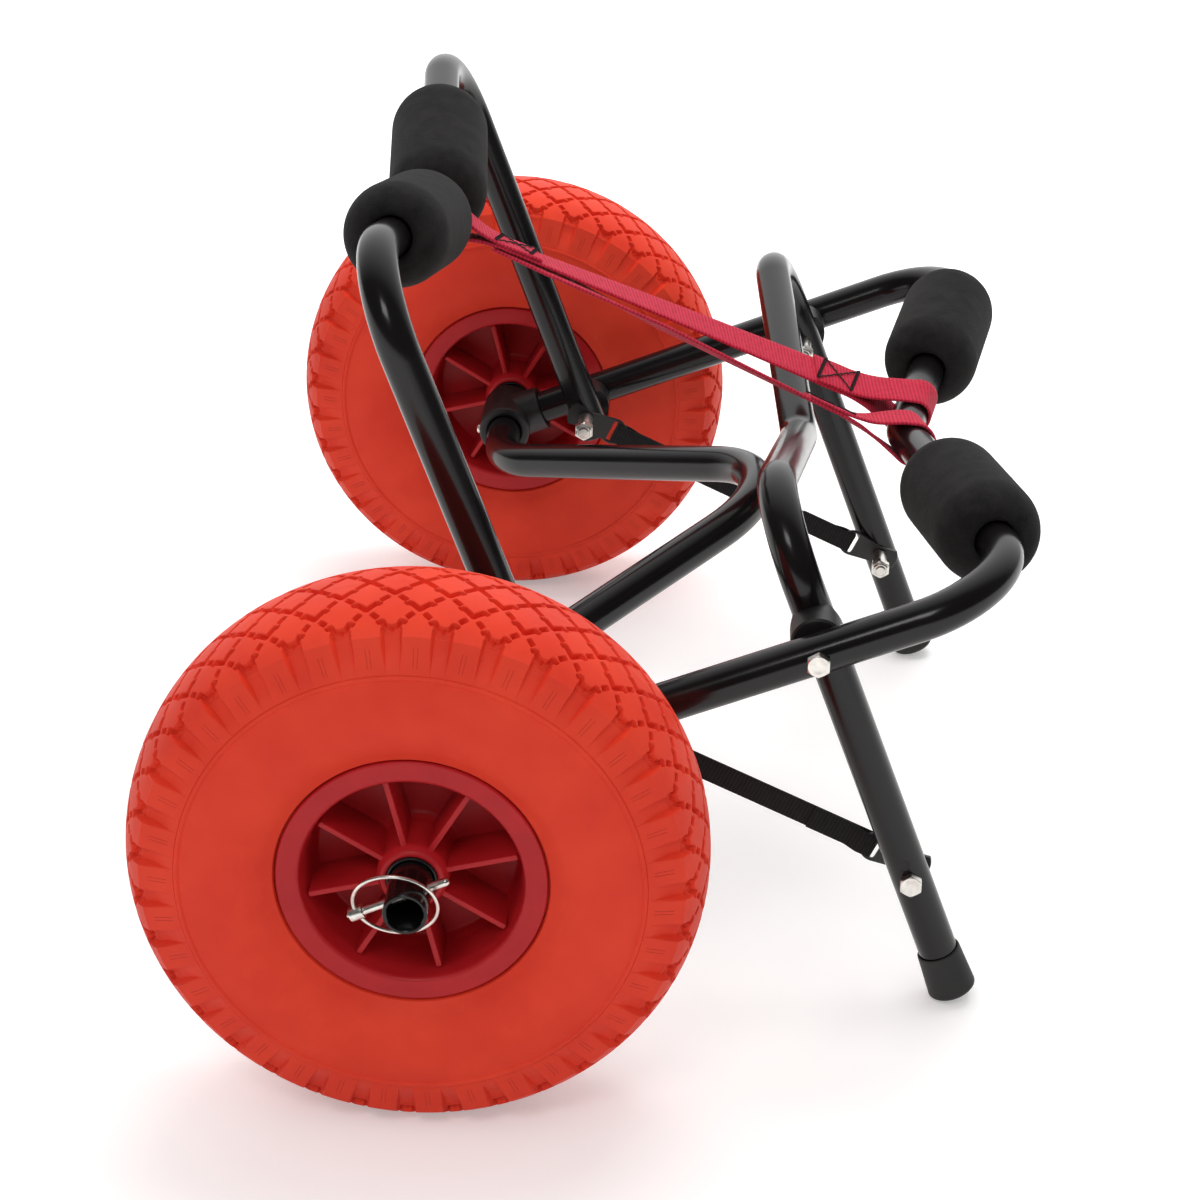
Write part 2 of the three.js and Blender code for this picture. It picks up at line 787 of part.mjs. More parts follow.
// Kickstand straps: flat webbing with an eye at each end round the bar beyond the bracket's slot
const bar_from = bracket_reach + slot_half;
const bar_to = bracket_reach + bracket_end_r;
const eye_from = bar_from - gap;
const eye_to = bar_to + 2 * gap;
const eye_point = eye_to + 2 * side_strap_t + bracket_t;
const layer_in = bracket_inside - gap;
const layer_out = inner_inside + gap;
const web_in = layer_in - side_strap_t;
const sewn_to = eye_point + side_strap_sewn;
const half_outline = [
  [sewn_to, layer_in],
  [sewn_to, layer_in + side_strap_t],
  [eye_point + side_strap_t, layer_in + side_strap_t],
  [eye_to, layer_out + side_strap_t],
  [eye_from - side_strap_t, layer_out + side_strap_t],
  [eye_from - side_strap_t, web_in],
];
const far_end = half_outline.map(([x, y]) => [strap_length - x, y]).reverse();
const eye_outline = [[eye_from, layer_in], [eye_from, layer_out], [eye_to, layer_out], [eye_point, layer_in]];
function strap_slab(outline, width) {
  const shape = outlined(outline.map(([x, y]) => new THREE.Vector2(x, y)), []);
  const g = new THREE.ExtrudeGeometry(shape, { depth: width, bevelEnabled: false });
  g.translate(0, 0, -width / 2);
  return closed(g);
}

const side_strap = cut(strap_slab([...half_outline, ...far_end], side_strap_w), [
  strap_slab(eye_outline, side_strap_w + overrun),
  strap_slab(eye_outline.map(([x, y]) => [strap_length - x, y]), side_strap_w + overrun),
]);
for (const [name, way] of sides) {
  add(strap_group, `${name}_kickstand_strap`, side_strap.clone(), black_web, (m) => {
    m.rotation.x = way > 0 ? 0 : Math.PI;
  });
}

// Foam pads: round sleeves on the cradle frames' cross tubes
const pad_mid_r = pad_r - pad_end_r * (1 - Math.SQRT1_2);
const pad_round = pad_end_r * (1 - Math.SQRT1_2);
function pad(length) {
  const bore = (tube_r + gap) / Math.cos(Math.PI / pad_facets);
  const half = length / 2;
  const end = [
    [bore, half - pad_mouth_depth],
    [pad_mouth_r, half],
    [pad_r - pad_end_r, half],
    [pad_mid_r, half - pad_round],
    [pad_r, half - pad_end_r],
  ];
  return turned([...end, ...end.map(([r, h]) => [r, -h]).reverse()], pad_facets);
}

function add_pad(parent, name, corner, vertex, half_span, start) {
  const lean = Math.atan2(corner - vertex, half_span);
  const length = pad_span / Math.cos(lean);
  const middle = start + pad_span / 2;
  add(parent, name, pad(length), grey_foam, (m) => {
    m.position.set(vertex + Math.abs(middle) * Math.tan(lean), middle, 0);
    m.rotation.z = middle > 0 ? -lean : lean;
  });
}

for (const [name, way] of sides) {
  const start = way > 0 ? front_pad_near : -front_pad_near - pad_span;
  add_pad(front_group, `front_${name}_pad`, front_corner, front_vertex, front_half_span, start);
  const rear_start = way > 0 ? rear_left_pad_start : rear_right_pad_start;
  add_pad(rear_group, `rear_${name}_pad`, rear_corner, rear_vertex, inner_half_span, rear_start);
}

// Rubber feet on the kickstand's legs
const foot_seat = foot_sole;
const foot_mid_r = foot_r - foot_edge * (1 - Math.SQRT1_2);
const foot_rise = foot_edge * (1 - Math.SQRT1_2);
const foot_body = turned([
  [0, 0],
  [foot_r - foot_edge, 0],
  [foot_mid_r, foot_rise],
  [foot_r, foot_edge],
  [foot_top_r, foot_length],
  [(tube_r + gap) / Math.cos(Math.PI / pad_facets), foot_length],
  [(tube_r + gap) / Math.cos(Math.PI / pad_facets), foot_seat],
  [0, foot_seat],
], pad_facets);
for (const [name, way] of sides) {
  add(stand_group, `${name}_foot`, foot_body.clone(), black_rubber, (m) => {
    m.position.set(-stand_leg - sole_drop, way * inner_half_span, 0);
    m.rotation.z = -Math.PI / 2;
  });
}

// Linch pins through the axle's ends. Each pin's own Y runs from its middle toward its tail.
const ring_start = Math.asin((pin_head_r - ring_end_depth) / ring_r);
class RingPath extends THREE.Curve {
  getPoint(u, target = new THREE.Vector3()) {
    const a = ring_start + u * (2 * Math.PI - 2 * ring_start);
    return target.set(ring_r * (1 - Math.cos(a)), 0, ring_r * Math.sin(a));
  }
}
const ring_body = closed(new THREE.ExtrudeGeometry(new THREE.Shape(circle_points(ring_wire_r, ring_facets)), {
  steps: ring_steps,
  extrudePath: new RingPath(),
  bevelEnabled: false,
}));
const head_middle = -pin_head_reach;
const head_half = pin_head_length / 2;
const pin_blank = turned([
  [0, head_middle - head_half - pin_nub_length],
  [pin_nub_r, head_middle - head_half - pin_nub_length],
  [pin_nub_r, head_middle - head_half],
  [pin_head_r, head_middle - head_half],
  [pin_head_r, head_middle + head_half],
  [pin_r, head_middle + head_half],
  [pin_r, pin_tail - pin_r / 2],
  [pin_r / 2, pin_tail],
  [0, pin_tail],
], small_facets);

for (const [name, way] of sides) {
  const pin_group = new THREE.Group();
  pin_group.position.set(0, way * pin_station, axle_height);
  pin_group.rotation.y = -pin_tilt;
  cart.add(pin_group);
  const holes = [];
  for (const face of [1, -1]) {
    const hole_from = pin_head_r - ring_end_depth - gap;
    const hole = drill(ring_wire_r + gap, hole_from, pin_head_r + overrun, small_facets);
    hole.rotateX(Math.PI / 2);
    if (face < 0) {
      hole.rotateX(Math.PI);
    }
    hole.rotateX(way * -ring_lean);
    hole.translate(-pin_head_reach, 0, 0);
    holes.push(hole);
  }
  const pin = pin_blank.clone();
  pin.rotateZ(-Math.PI / 2);
  add(pin_group, `${name}_linch_pin`, cut(pin, holes), bright_zinc);
  const ring_group = new THREE.Group();
  ring_group.position.x = -pin_head_reach;
  ring_group.rotation.set(way * -ring_lean, 0, way * ring_open, 'XYZ');
  pin_group.add(ring_group);
  add(ring_group, `${name}_pin_ring`, ring_body.clone(), bright_zinc);
}

// Cradle straps: a band of webbing from the rear frame's middle to each front loop.
// A loop's own plane is square to the tube that it goes round.
const front_lean = Math.atan2(front_corner - front_vertex, front_half_span);
const rear_lean = Math.atan2(rear_corner - rear_vertex, inner_half_span);

function on_frame(group, vertex, lean, y) {
  group.updateWorldMatrix(true, false);
  const x = vertex + Math.abs(y) * Math.tan(lean);
  return new THREE.Vector3(x, y, 0).applyMatrix4(group.matrixWorld);
}

const strap_seat = tube_r + gap;
const strap_outer = strap_seat + cradle_strap_t;

const eye_reach = 3 * strap_outer;

// An eye of webbing: two layers from a tube's flanks to the point where they meet.
// The outline lies across the tube, with its own X toward the band.
function eye(centre, axis, toward, slack) {
  const seat = strap_seat + slack;
  const skin = seat + cradle_strap_t;
  const reach = eye_reach;
  const up = new THREE.Vector3().crossVectors(axis, toward).normalize();
  const way = new THREE.Vector3().crossVectors(up, axis).normalize();
  const tangent = Math.acos(skin / reach);
  const step = (2 * Math.PI - 2 * tangent) / wrap_steps;
  const arc = (r) => {
    const points = [];
    for (let i = 0; i <= wrap_steps; i += 1) {
      const a = tangent + step * i;
      const clear = r / Math.cos(step / 2);
      points.push([clear * Math.cos(a), clear * Math.sin(a)]);
    }
    return points;
  };
  const half_t = cradle_strap_t / 2;
  const outer = [...arc(skin), [reach, -half_t], [reach, half_t]];
  const hole = [...arc(seat), [(reach * seat) / skin, 0]];
  const g = cut(strap_slab(outer, cradle_strap_w), [strap_slab(hole, cradle_strap_w + overrun)]);
  g.applyMatrix4(new THREE.Matrix4().makeBasis(way, up, axis));
  g.translate(centre.x, centre.y, centre.z);
  return { g, way, up };
}

// A band of webbing from one eye's point to another's, turned evenly from the first eye's own
// width to the second's.
function band(from, to, from_wide, to_wide) {
  const run = to.clone().sub(from);
  const along = run.clone().normalize();
  const half = cradle_strap_w / 2;
  const half_t = cradle_strap_t / 2;
  const sections = [];
  for (let i = 0; i <= twist_steps; i += 1) {
    const u = i / twist_steps;
    const wide = from_wide.clone().lerp(to_wide, u);
    wide.addScaledVector(along, -along.dot(wide)).normalize();
    const thick = new THREE.Vector3().crossVectors(along, wide);
    const at = from.clone().addScaledVector(run, u);
    sections.push([[half, -half_t], [half, half_t], [-half, half_t], [-half, -half_t]].map(([x, y]) => (
      at.clone().addScaledVector(wide, x).addScaledVector(thick, y))));
  }
  return lofted(sections);
}

const front_left_loop = on_frame(front_group, front_vertex, front_lean, front_loop_left_y);
const front_right_loop = on_frame(front_group, front_vertex, front_lean, front_loop_right_y);
const rear_loop = on_frame(rear_group, rear_vertex, rear_lean, rear_loop_y);
const frame_axis = (group, lean) => (
  new THREE.Vector3(Math.sin(lean), Math.cos(lean), 0).transformDirection(group.matrixWorld));

const left_axis = frame_axis(front_group, front_lean);
const right_axis = frame_axis(front_group, -front_lean);
const rear_axis = frame_axis(rear_group, -rear_lean);

function strap_line(from, to) {
  return to.clone().sub(from).normalize();
}

// The left strap holds the rear eye and the upper band. The right strap is the lower band, sewn
// under the left one just past the rear eye.
const left_way = strap_line(rear_loop, front_left_loop);
const rear_eye = eye(rear_loop, rear_axis, left_way, vertex_slack);
const left_eye = eye(front_left_loop, left_axis, left_way.clone().negate(), 0);
const eye_hold = eye_reach - cradle_strap_t;
const left_from = rear_loop.clone().addScaledVector(rear_eye.way, eye_hold);
const left_to = front_left_loop.clone().addScaledVector(left_eye.way, eye_hold);
const left_strap = joined([rear_eye.g, left_eye.g, band(left_from, left_to, rear_axis, left_axis)]);
add(cart, 'left_cradle_strap', left_strap, crimson_web);

const right_from = rear_loop.clone().addScaledVector(rear_eye.way, eye_reach + gap);
right_from.addScaledVector(rear_eye.up, cradle_strap_t + right_strap_drop);
const right_way = strap_line(right_from, front_right_loop);
const right_eye = eye(front_right_loop, right_axis, right_way.clone().negate(), vertex_slack);
const right_to = front_right_loop.clone().addScaledVector(right_eye.way, eye_hold);
const right_strap = joined([right_eye.g, band(right_from, right_to, rear_axis, right_axis)]);
add(cart, 'right_cradle_strap', right_strap, crimson_web);

// The origin is on the ground, under the middle of the whole cart.
cart.updateMatrixWorld(true);
const bounds = new THREE.Box3().setFromObject(cart, true);
cart.position.set(-(bounds.min.x + bounds.max.x) / 2, -(bounds.min.y + bounds.max.y) / 2, -bounds.min.z);
cart.updateMatrixWorld(true);

export default cart;
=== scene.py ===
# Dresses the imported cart: fine surfaces, finishes, floor, lamps and camera.
# Sizes are in millimetres from the middle of the axle's floor point, +X toward the kickstand feet,
# +Y along the axle to the cart's left, +Z up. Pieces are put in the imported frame's metres.
import math

import bpy
import numpy as np
from mathutils import Matrix, Vector


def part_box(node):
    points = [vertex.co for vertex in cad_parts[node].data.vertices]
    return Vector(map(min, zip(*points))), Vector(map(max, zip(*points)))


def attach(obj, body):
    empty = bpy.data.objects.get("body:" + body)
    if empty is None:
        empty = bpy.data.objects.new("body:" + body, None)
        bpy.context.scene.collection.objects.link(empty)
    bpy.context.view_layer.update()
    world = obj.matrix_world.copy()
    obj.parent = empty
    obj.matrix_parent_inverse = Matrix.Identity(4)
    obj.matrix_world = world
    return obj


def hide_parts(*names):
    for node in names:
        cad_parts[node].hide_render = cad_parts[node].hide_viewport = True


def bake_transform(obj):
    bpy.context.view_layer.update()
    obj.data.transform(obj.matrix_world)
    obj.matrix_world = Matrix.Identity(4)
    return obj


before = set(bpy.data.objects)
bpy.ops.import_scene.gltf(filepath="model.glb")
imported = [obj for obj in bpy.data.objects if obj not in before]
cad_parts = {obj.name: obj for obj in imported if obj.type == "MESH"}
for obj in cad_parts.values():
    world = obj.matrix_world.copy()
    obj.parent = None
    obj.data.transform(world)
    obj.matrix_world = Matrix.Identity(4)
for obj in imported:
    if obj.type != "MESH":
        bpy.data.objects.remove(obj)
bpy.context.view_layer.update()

MM = 0.001
# Radius of the last ring at a turned piece's pole
pole = 0.01
SIDES = (("left", 1), ("right", -1))

# Wheels
wheel_r = 130
axle_height = wheel_r
wheel_station = 288.4
tyre_bore_r = 53
tyre_hold = 29.7
flange_r = 60
flange_opening_r = 49.3
rim_half_width = 33
web_half = 2
wall_r = 46.5
hub_r = 15.4
hub_half_width = 30.5
rib_t = 2.6
rib_half_width = 27
rib_edge = 0.5
rib_count = 8
rib_turn = math.radians(-13.9)
bush_r = 11.2
bush_length = 22
bush_stand_out = 0.5

# Tread: a lattice of broken grooves, and lugs down the shoulders
lug_count = 35
lug_columns = 32
lug_turn = math.radians(1.76)
groove_pitch = 10.8
pitch_rows = 16
groove_half = 1.2
dash_half = 1.05
groove_wall = 0.75
groove_depth = 3.2
arm_share = 0.42
dash_share = 0.54
nib_share = 0.38
nib_aside = 1.9
nib_out = 0.9
nib_half = 0.85
flat_half = 2.6
flat_inset = 1.2
tread_r = 127
valley_top_half = 4.4
valley_foot_half = 3.9
valley_wall = 0.9
valley_depth = 3.5
valley_end = 0.9
valley_from = 3
slit_offset = 0.95
slit_w = 0.35
slit_from = 40.5
slit_to = 49.5

# Axle and frames
axle_r = 9.74
axle_bore_r = 8
axle_bore_depth = 70
axle_end = 348
elbow_station = 160
apex_reach = 179.5
apex_rise = 69.7
axle_bend_r = 59
tube_r = 9.53
tube_bore_r = 7.9
tube_bore_depth = 30
rear_bore_depth = 9
tube_lip = 0.4
front_half_span = 224.4
inner_half_span = 191.2
front_slope = math.radians(21.9)
front_start = 12
front_corner = 290.4
front_vertex = 241
front_corner_bend_r = 43
vertex_bend_r = 25
rear_pivot_reach = 53.7
rear_angle = math.radians(110.65)
rear_corner = 237.2
rear_vertex = 194
rear_corner_bend_r = 41
rear_tail = 15
stand_pivot_reach = 189.15
stand_angle = math.radians(111.15)
stand_corner = 67.4
stand_vertex = 16.5
stand_corner_bend_r = 38
stand_leg = 210.5
strap_bolt_drop = 141.7
spare_hole_rise = 9.6
spare_hole_r = 2.9

# Fittings on the axle
fitting_r = 15
fitting_half = 20
socket_r = 13
socket_end = 23.5
screw_inset = 16
screw_head_r = 2.7
screw_head_h = 1.7

# Pivot hardware
bolt_r = 3
hex_flat = 5
bolt_head_h = 4
nut_h = 4.4
nut_collar_r = 4.3
nut_collar_h = 1.6
sleeve_r = 4.35
sleeve_length = 15
bolt_tip = 1
spacer_r = 12.5
spacer_lip = 7
gap = 0.3

# Kickstand straps and brackets
bracket_t = 2
bracket_r = 11
bracket_reach = 18
bracket_end_r = 8
slot_w = 4
slot_length = 13
side_strap_w = 12
side_strap_t = 1.3
side_strap_sewn = 22

# Cradle straps
cradle_strap_w = 25
cradle_strap_t = 1.7
rear_loop_y = -14
front_loop_left_y = 28.5
front_loop_right_y = -9.5
right_strap_drop = 0.3
loop_reach = 34.6
loop_sewn = 24
slack_twists = np.radians([5.5, 3])
right_twist = math.radians(9)
right_sag = 4
thread_r = 0.42

# Foam pads
pad_r = 25.3
pad_end_length = 19
pad_mouth_r = 13.6
pad_mouth_depth = 8
front_pad_near = 73.5
pad_span = 95.5
rear_left_pad_start = 4.6
rear_right_pad_start = -123.5
foam_pore = 0.8

# Feet
foot_r = 11.9
foot_top_r = 10.4
foot_length = 24
foot_edge = 1.6
foot_floor_t = 2
sole_drop = 0.55

# Linch pins
pin_station = 331
pin_r = 1.95
pin_tilt = math.radians(24)
pin_tail = 19.3
pin_head_reach = 24.9
pin_head_r = 3.25
pin_head_length = 6.5
pin_nub_r = 0.9
pin_nub_length = 1.4
ring_r = 18.6
ring_wire_r = 0.9
ring_end_depth = 1.6
ring_lean = math.radians(17)
ring_open = math.radians(9.7)

# Camera, found from the photograph's vanishing lines and wheel ellipses
camera_at = (122.979, -1405.966, 782.299)
camera_turn = math.radians(2.2671)
camera_drop = math.radians(25.2882)
camera_roll = math.radians(1.0377)
lens = 87.038
sensor = 36
floor_reach = 9.0

tyre_lo, tyre_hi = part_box("left_tyre")
axle_x = (tyre_lo.x + tyre_hi.x) / 2 / MM


def to_row(points):
    """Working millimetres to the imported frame's metres: a shift along X, then a scale."""
    return (np.asarray(points, float) + np.array([axle_x, 0, 0])) * MM


def unit(v):
    """Each vector over its own length."""
    v = np.asarray(v, float)
    return v / np.linalg.norm(v, axis=-1, keepdims=True)


# Finishes


def linear(code):
    """An sRGB hex value as linear red, green, blue and alpha."""
    c = np.array([int(code[i:i + 2], 16) / 255 for i in (0, 2, 4)])
    c = np.where(c <= 0.04045, c / 12.92, ((c + 0.055) / 1.055) ** 2.4)
    return (*c.tolist(), 1.0)


def put(tree, kind, inputs=(), **settings):
    """Adds a node, sets its settings, and sets or links each named or numbered input."""
    n = tree.nodes.new(kind)
    for key, value in settings.items():
        setattr(n, key, value)
    for key, value in dict(inputs).items():
        socket = n.inputs[key] if isinstance(key, int) else next(
            i for i in n.inputs if i.name == key and i.enabled)
        if isinstance(value, bpy.types.NodeSocket):
            tree.links.new(value, socket)
        else:
            socket.default_value = value
    return n


def begun(name, noises, **sockets):
    """A material whose shader has its plain sockets set, its texture coordinates, and noises in
    object space, each given by its lumps' size in millimetres, its detail and its roughness."""
    m = bpy.data.materials.new(name)
    m.use_nodes = True
    t = m.node_tree
    for key, value in sockets.items():
        t.nodes["Principled BSDF"].inputs[key.replace("_", " ")].default_value = value
    where = put(t, "ShaderNodeTexCoord").outputs
    return m, where, [put(t, "ShaderNodeTexNoise", {
        "Vector": where["Object"], "Scale": 1 / (size * MM), "Detail": detail, "Roughness": rough,
    }).outputs["Fac"] for size, detail, rough in noises]


def finished(m, tone, tints, between=(0.3, 0.7), gloss=None, height=None, relief=0):
    """Colours a material from one tint to the other as tone goes between two levels, takes its
    roughness through gloss as tone goes from 0 to 1, and lets height stand relief millimetres
    proud as bump. Returns the colour."""
    t = m.node_tree
    shader = t.nodes["Principled BSDF"]
    ramp = put(t, "ShaderNodeValToRGB", {"Fac": tone})
    for stop, level, tint in zip(ramp.color_ramp.elements, between, tints):
        stop.position, stop.color = level, linear(tint)
    t.links.new(ramp.outputs["Color"], shader.inputs["Base Color"])
    if gloss:
        rough = put(t, "ShaderNodeMapRange", {"Value": tone, "To Min": gloss[0], "To Max": gloss[1]})
        t.links.new(rough.outputs[0], shader.inputs["Roughness"])
    if relief:
        bump = put(t, "ShaderNodeBump", {"Height": height, "Distance": relief * MM, "Strength": 1.0})
        t.links.new(bump.outputs["Normal"], shader.inputs["Normal"])
    return ramp.outputs["Color"]


def clouded(name, cloud, tints, gloss=None, grain=None, relief=0, **sockets):
    """A finish whose colour and roughness follow one noise and whose bump follows a finer one."""
    m, _, noises = begun(name, (cloud, grain) if grain else (cloud,), **sockets)
    finished(m, noises[0], tints, gloss=gloss, height=noises[-1], relief=relief)
    return m


def sleeve_foam():
    """Closed-cell rubber foam with a ground skin: charcoal and dead matt, with pores under a
    millimetre across."""
    m, where, (mottle,) = begun("ground_charcoal_foam", [(9, 5, 0.65)], Roughness=0.9,
                                Specular_IOR_Level=0.16, Sheen_Weight=0.03, Sheen_Roughness=0.6)
    t = m.node_tree
    pores = put(t, "ShaderNodeTexVoronoi", {"Vector": where["Object"], "Scale": 1 / (foam_pore * MM)})
    both = put(t, "ShaderNodeMath", {0: pores.outputs["Distance"], 1: mottle}, operation="ADD")
    finished(m, mottle, ("141313", "242222"), height=both.outputs[0], relief=0.16)
    return m


def tyre_foam():
    """Moulded polyurethane foam: an even orange red, matt, its skin faintly clouded. A pair of fine
    mould slits runs down each lug's face, sunk as bump and darkened with painted shade: a slit is where
    the way round from the lug's middle is its offset, within half its width, and the way out lies on
    the face."""
    m, where, (cloud, grain) = begun("moulded_orange_foam", [(26, 4, 0.5), (1.1, 3, 0.5)],
                                     IOR=1.48, Specular_IOR_Level=0.25)
    t = m.node_tree
    parts = put(t, "ShaderNodeSeparateXYZ", {0: where["UV"]}).outputs
    lug_pitch = 2 * math.pi / lug_count * tread_r
    from_middle = put(t, "ShaderNodeMath", {0: parts[0], 1: 0.5}, operation="PINGPONG")
    on_line = put(t, "ShaderNodeMath", {
        0: from_middle.outputs[0], 1: slit_offset / lug_pitch, 2: slit_w / 2 / lug_pitch,
    }, operation="COMPARE")
    on_face = put(t, "ShaderNodeMath", {
        0: parts[1], 1: (slit_from + slit_to) / 2, 2: (slit_to - slit_from) / 2,
    }, operation="COMPARE")
    slit = put(t, "ShaderNodeMath", {0: on_line.outputs[0], 1: on_face.outputs[0]},
               operation="MULTIPLY").outputs[0]
    height = put(t, "ShaderNodeMath", {0: slit, 1: -4.0, 2: grain}, operation="MULTIPLY_ADD")
    colour = finished(m, cloud, ("e03924", "eb432a"), gloss=(0.5, 0.62),
                      height=height.outputs[0], relief=0.05)
    # Painted shade: on the slits the colour is drawn a third of the way toward a dark red.
    share = put(t, "ShaderNodeMath", {0: slit, 1: 0.35}, operation="MULTIPLY")
    shade = put(t, "ShaderNodeMix", {"Factor": share.outputs[0], "A": colour, "B": linear("8c140c")},
                data_type="RGBA")
    t.links.new(next(o for o in shade.outputs if o.enabled),
                t.nodes["Principled BSDF"].inputs["Base Color"])
    return m


def webbing(name, tints, rib, relief):
    """Woven polyester tape: a pick across it every rib millimetres and warp ends at half that spacing,
    each a sine, which stands proud as bump and also sets the colour: a painted highlight on the crowns
    and painted shade in the gaps between. The weave is drawn as coarse as it needs to be to show."""
    m, where, (fluff,) = begun(name, [(3, 5, 0.7)], Roughness=0.85, Specular_IOR_Level=0.2,
                               Sheen_Weight=0.06, Sheen_Roughness=0.4)
    t = m.node_tree
    parts = put(t, "ShaderNodeSeparateXYZ", {0: where["UV"]}).outputs
    level = 0.5
    for part, spacing, share in ((parts[0], rib / 2, 0.14), (parts[1], rib, 0.36)):
        turn = put(t, "ShaderNodeMath", {0: part, 1: 2 * math.pi / spacing}, operation="MULTIPLY")
        wave = put(t, "ShaderNodeMath", {0: turn.outputs[0]}, operation="SINE")
        level = put(t, "ShaderNodeMath", {0: wave.outputs[0], 1: share, 2: level},
                    operation="MULTIPLY_ADD").outputs[0]
    # Painted highlight and shade: the weave's height also lightens the colour on its crowns and darkens
    # it in its gaps, over the fluff's random tone.
    tone = put(t, "ShaderNodeMath", {0: level, 1: 0.6, 2: fluff}, operation="MULTIPLY_ADD")
    finished(m, tone.outputs[0], tints, between=(0.25, 1.0), height=level, relief=relief)
    return m


# Powder coat, sprayed and baked on steel tube: a deep gloss black with a faint orange peel
coat = clouded("gloss_black_powder_coat", (45, 3, 0.5), ("110f10", "161415"), (0.14, 0.26),
               (2.6, 2, 0.5), 0.012, Specular_IOR_Level=0.3, Coat_Weight=0.1, Coat_Roughness=0.05)

# Moulded nylon: a dull black, its spark-eroded grain drawn as coarse as it needs to be to show
nylon = clouded("moulded_black_nylon", (14, 3, 0.5), ("101010", "191919"), (0.38, 0.55),
                (0.5, 2, 0.5), 0.03, IOR=1.53)

# Satin black paint on pressed steel plate: a softer gloss than the tubes', worn a little
plate = clouded("satin_black_painted_plate", (5, 4, 0.5), ("0d0d0d", "1a1a1a"), (0.3, 0.5),
                (5, 4, 0.5), 0.04)

# Moulded rubber: a dense matt black with slight scuffs and a grain coarse enough to show
rubber = clouded("moulded_black_rubber", (6, 5, 0.7), ("111111", "1e1d1d"), (0.5, 0.72),
                 (0.7, 2, 0.5), 0.05, IOR=1.52)

# Bright zinc plate on steel: a pale metal, slightly clouded
zinc = clouded("bright_zinc_plate", (3.5, 3, 0.5), ("d2cfc8", "ebe8e1"), (0.24, 0.36), Metallic=1.0)

# Injection-moulded polypropylene: a deep red with a low even gloss and a grain coarse enough to show
rim_skin = clouded("moulded_red_polypropylene", (18, 3, 0.5), ("b0191f", "ba1f25"), (0.32, 0.45),
                   (0.8, 2, 0.5), 0.02, IOR=1.49, Specular_IOR_Level=0.3)

# Bonded sewing thread: a dull twisted yarn
stitch_thread = clouded("black_bonded_thread", (0.6, 2, 0.5), ("0b0b0c", "2a2426"), Roughness=0.75)

foam = sleeve_foam()
tyre_skin = tyre_foam()
crimson = webbing("woven_crimson_webbing", ("8a0f25", "cb324a"), 2.0, 0.18)
black_web = webbing("woven_black_webbing", ("100f10", "262425"), 1.8, 0.2)

# Surfaces


